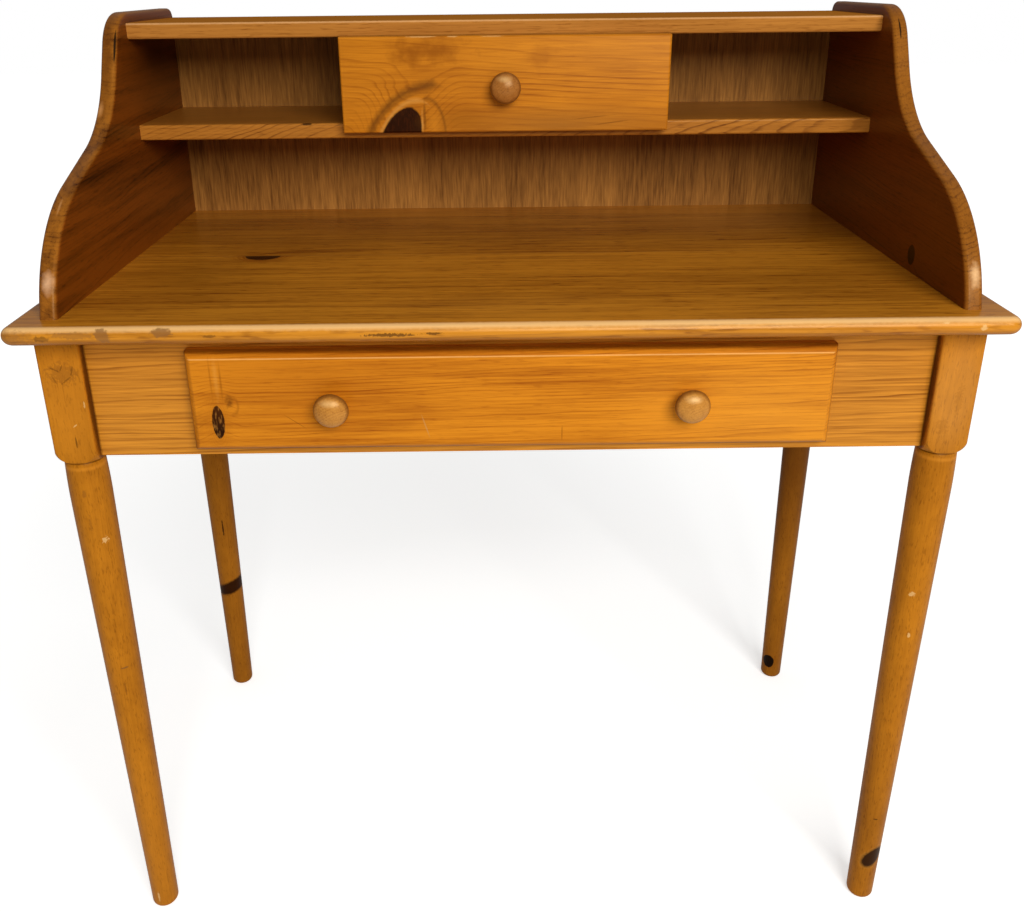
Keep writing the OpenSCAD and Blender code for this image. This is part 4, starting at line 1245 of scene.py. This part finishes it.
def main_front() -> Pine:
    """Finish of the wide drawer's front, with an oval dead knot near its left end."""
    swirl, shade = "#8A4808", dict(tone="#5A2804", ragged=0.2, soft=0.8)
    face = box_mm("drawer_front")[0][1]
    on = Face(face).mark
    marks = (
        on(-190, 690, 150, 60, "#A05208", 0.4, 0, soft=1, deep=20),
        on(250, 655, 170, 80, "#FFB040", 0.25, 0, soft=1, deep=20),
        # Painted shadow on the top bevel under the desktop, a painted highlight along the bevel's
        # foot, and painted shade on the bottom and end bevels.
        Mark((0, -220, 722.5), (ENDLESS, 9, 3.4), strength=0.9, **shade),
        on(0, 715.4, ENDLESS, 0.9, "#FFC878", 0.5, 0.3, 3, 0.9, deep=2.5),
        Mark((0, -216, 619.5), (ENDLESS, 12, 5.5), strength=0.8, **shade),
        *(Mark((x, -216, 671), (3.4, 12, ENDLESS), strength=0.6, **shade) for x in (-308, 308)),
        on(-278.5, 697, 3, 30, "#F0B050", 0.18, 0.8, 5, 0.8),
        on(-283.5, 697, 1.3, 28, swirl, 0.4, 0.6, 5, 0.8),
        on(-274, 692, 1.5, 24, swirl, 0.5, 0.6, 5, 0.8),
        on(-268, 673, 5, 8, "#5E2E06", 0.65, 1.8, 4, 0.9),
        on(-266, 668, 6, 9, swirl, 0.4, 1.2, 5, 0.9, shell=0.3, keep=RIGHT, cut=0.3),
        on(-296, 655, 10, 12, swirl, 0.3, 1.6, 6, 0.9),
        on(48.5, 636, 0.8, 9, swirl, 0.5, 0.6),
        on(-82.5, 645, 0.8, 13, "#C08C50", 0.5, 0.8, shear=(-0.3, 0)),
        on(-207, 651, 0.6, 8, DIRT, 0.5, 0.2, shear=(-1.4, 0)))
    return Pine(
        "lacquered_pine_main_front", Grain.X, (-150, 540), ring=3.2, contrast=0.65,
        seed=23, slope=(0, 0.03), uneven=7,
        layers=((1.7, 50, 0.8), (5.5, 200, 1.1), (60, 230, 1.4)), dash=(1.3, 16, 0.2),
        roughness=0.4, specular=0.12,
        knots=(Knot((-280.6, face, 651.5), (6, 8, 17), push=5, reach=4.5, collar=2.4,
                    stain=0.3, fleck="#9A6428"),),
        marks=marks, **FRONTS)


def small_front() -> Pine:
    """Finish of the small drawer's front, with a half knot that the grain curls round."""
    grey, face = "#6A3A0C", box_mm("small_drawer_front")[0][1]
    on = Face(face, deep=8).mark
    marks = (
        on(60, 890, 170, 26, "#8A5A26", 0.5, 0, soft=1, deep=20),
        on(-50, 897, 55, 18, "#98580A", 0.4, 0, soft=1, deep=20),
        on(-100, 872, 56, 62, grey, 0.75, 0.7, 6, 0.9, shell=0.13, keep=LEFT, cut=0.07, shear=(0.3, 0),
           deep=30),
        on(-104, 872, 50, 54, "#8E5010", 0.5, 0.5, 8, 0.9, shell=0.05, keep=LEFT, cut=0.07,
           shear=(0.3, 0), deep=30),
        on(-112, 872, 32, 46, "#E8A850", 0.4, 0.5, 8, 0.9, shell=0.10, keep=LEFT, cut=0.05,
           shear=(0.3, 0), deep=30),
        on(-88, 880, 21, 40, grey, 0.5, 0.6, 6, 0.9, shell=0.10, keep=RIGHT, cut=0.15, deep=20),
        on(-90, 902, 2, 22, grey, 0.6, 1.4, 4, 0.8),
        on(-92.8, 893, 1.8, 16, "#E8A850", 0.5, 0.8, 6, 0.9),
        on(-79, 892, 9, 20, "#D88820", 0.5, 0.8, 6, 0.9),
        on(-84, 969, 48, 15, "#8A4604", 0.65, 2.2, 14, 0.9),
        on(-110, 976, 10, 10, "#8E4A06", 0.4, 2.2, 14, 0.9),
        on(39, 962, 18, 18, "#9E560C", 0.4, 2.2, 14, 0.9),
        on(118, 892, 26, 0.9, "#5A2A06", 0.5, 0.8, 12, 0.6, shear=(0, 0.12)),
        on(96, 898, 30, 0.8, "#5A2A06", 0.4, 0.8, 12, 0.6, shear=(0, 0.1)),
        on(-92, 984.6, 19, 0.9, PALE, 0.5, 0.9, deep=3),
        on(-57, 984.6, 7, 0.9, PALE, 0.45, 0.9, deep=3),
        on(-14, 984.4, 14, 0.8, PALE, 0.35, 1.2, deep=3))
    return Pine(
        "lacquered_pine_small_front", Grain.X, (988, 100), ring=4.4, contrast=0.55,
        seed=26, slope=(0.05, 0), light="#D0801A", dark="#8A4206", uneven=4,
        roughness=0.45, specular=0.2,
        layers=((1.7, 50, 0.65), (6, 170, 0.6), (45, 110, 0.9)), dash=(1.3, 14, 0.1),
        knots=(Knot((-118, face, 876), (22.5, 14, 35), push=-24, reach=3.2, collar=1.3,
                    stain=0.35, shear=(0.3, 0), core="#240600", fleck="#3A1402", halo="#8E4C0C",
                    ragged=0.07),),
        marks=marks)


# Studio


@dataclass
class Studio:
    """A pale floor, soft light and the camera of the picture."""

    camera_at: Triple = (-17.97, -1095.44, 1040.36)
    yaw: float = 0.14
    pitch: float = -22.31
    roll: float = -0.60
    focal_px: float = 996.47  # focal length, in pixels
    centre_px: Pair = (494.75, 389.15)  # where the lens axis meets the picture, in pixels
    ambient: float = 0.24  # light from all round, 1 for white
    key: float = 0.88  # light of the lamp on what it aims at, 1 for white
    key_at: Triple = (800.0, -2600.0, 2050.0)
    key_size: Pair = (1.8, 1.2)  # metres
    aim: Triple = (0.0, 0.0, 800.0)
    floor_size: float = 24.0  # metres
    floor_colour: str = "#F6F6F4"
    floor_lift: float = 0.55  # how much brighter the camera sees it, 1 for white
    cove_lift: float = 0.30  # how much brighter still, far from the desk
    cove: Pair = (0.7, 2.2)  # metres from the desk over which the floor whitens

    def camera(self) -> None:
        """The picture's camera. Its shift puts the lens axis at the given pixel."""
        yaw, pitch, roll = (math.radians(a) for a in (self.yaw, self.pitch, self.roll))
        ahead = Vector((math.sin(yaw) * math.cos(pitch), math.cos(yaw) * math.cos(pitch),
                        math.sin(pitch)))
        level = Vector((math.cos(yaw), -math.sin(yaw), 0))
        upright = level.cross(ahead)
        right = math.cos(roll) * level + math.sin(roll) * upright
        up = math.cos(roll) * upright - math.sin(roll) * level
        data = bpy.data.cameras.new("picture_camera")
        data.sensor_width = 36.0
        data.sensor_fit = "HORIZONTAL"
        data.lens = self.focal_px * data.sensor_width / IMAGE_W
        data.shift_x = 0.5 - self.centre_px[0] / IMAGE_W
        data.shift_y = (self.centre_px[1] - IMAGE_H / 2) / IMAGE_W
        data.clip_start, data.clip_end = 0.05, 60.0
        camera = bpy.data.objects.new("picture_camera", data)
        turn = Matrix((right, up, -ahead)).transposed().to_4x4()
        camera.matrix_world = Matrix.Translation(Vector(self.camera_at) * MM) @ turn
        bpy.context.scene.collection.objects.link(camera)
        bpy.context.scene.camera = camera

    def lights(self) -> None:
        """One wide soft lamp in front and above. A lamp of power P lights a face at distance d
        as brightly as white paper when P is pi squared times d squared."""
        data = bpy.data.lights.new("soft_key", "AREA")
        data.shape = "RECTANGLE"
        data.size, data.size_y = self.key_size
        lamp = bpy.data.objects.new("soft_key", data)
        towards = (Vector(self.aim) - Vector(self.key_at)) * MM
        data.energy = math.pi ** 2 * towards.length_squared * self.key
        lamp.location = Vector(self.key_at) * MM
        lamp.rotation_euler = towards.to_track_quat("-Z", "Y").to_euler()
        bpy.context.scene.collection.objects.link(lamp)

    def world(self) -> None:
        """Soft light from all round, and plain white for what the camera sees past the floor."""
        world = bpy.data.worlds.new("studio")
        g = Graph(world)
        power = g.ramp(g.add("LightPath", out="Is Camera Ray"), 0, 1, self.ambient, 1)
        g.add("OutputWorld", g.add("Background", (1, 1, 1, 1), power))
        bpy.context.scene.world = world

    def floor(self) -> None:
        """A pale matt floor. The camera sees it a little lifted, more so far from the desk, so
        that it runs into the white and only the desk's shadow stays on it."""
        half = self.floor_size / 2
        mesh = bpy.data.meshes.new("studio_floor")
        mesh.from_pydata([(-half, -half, 0), (half, -half, 0), (half, half, 0), (-half, half, 0)],
                         [], [(0, 1, 2, 3)])
        floor = bpy.data.objects.new("studio_floor", mesh)
        bpy.context.scene.collection.objects.link(floor)
        material = bpy.data.materials.new("pale_studio_floor")
        g = Graph(material)
        away = g.vector("LENGTH", g.add("TexCoord", out="Object"), out="Value")
        lift = g.ramp(away, *self.cove, self.floor_lift, self.floor_lift + self.cove_lift)
        seen = g.math("MULTIPLY", g.add("LightPath", out="Is Camera Ray"), lift)
        glow = g.add("Emission", (1, 1, 1, 1), seen)
        matt = g.add("BsdfDiffuse", linear(self.floor_colour))
        g.add("OutputMaterial", g.add("AddShader", matt, glow))
        mesh.materials.append(material)

    def build(self) -> None:
        """Set up the whole studio."""
        self.camera()
        self.lights()
        self.world()
        self.floor()
        bpy.context.scene.view_settings.view_transform = "Standard"


def main() -> None:
    """Build the desk from its sub-assemblies and report each piece."""
    LegFrame().build()
    Gallery().build()
    Drawer("main_drawer", "drawer", BevelledFront(6.4, 9.2), main_front(),
           ("drawer_knob_left", "drawer_knob_right"), BEECH).build()
    Drawer("small_drawer", "small_drawer", BevelledFront(2.0, 2.0), small_front(),
           ("small_drawer_knob",), DARK_BEECH).build()
    Studio().build()


if __name__ == "__main__":
    main()
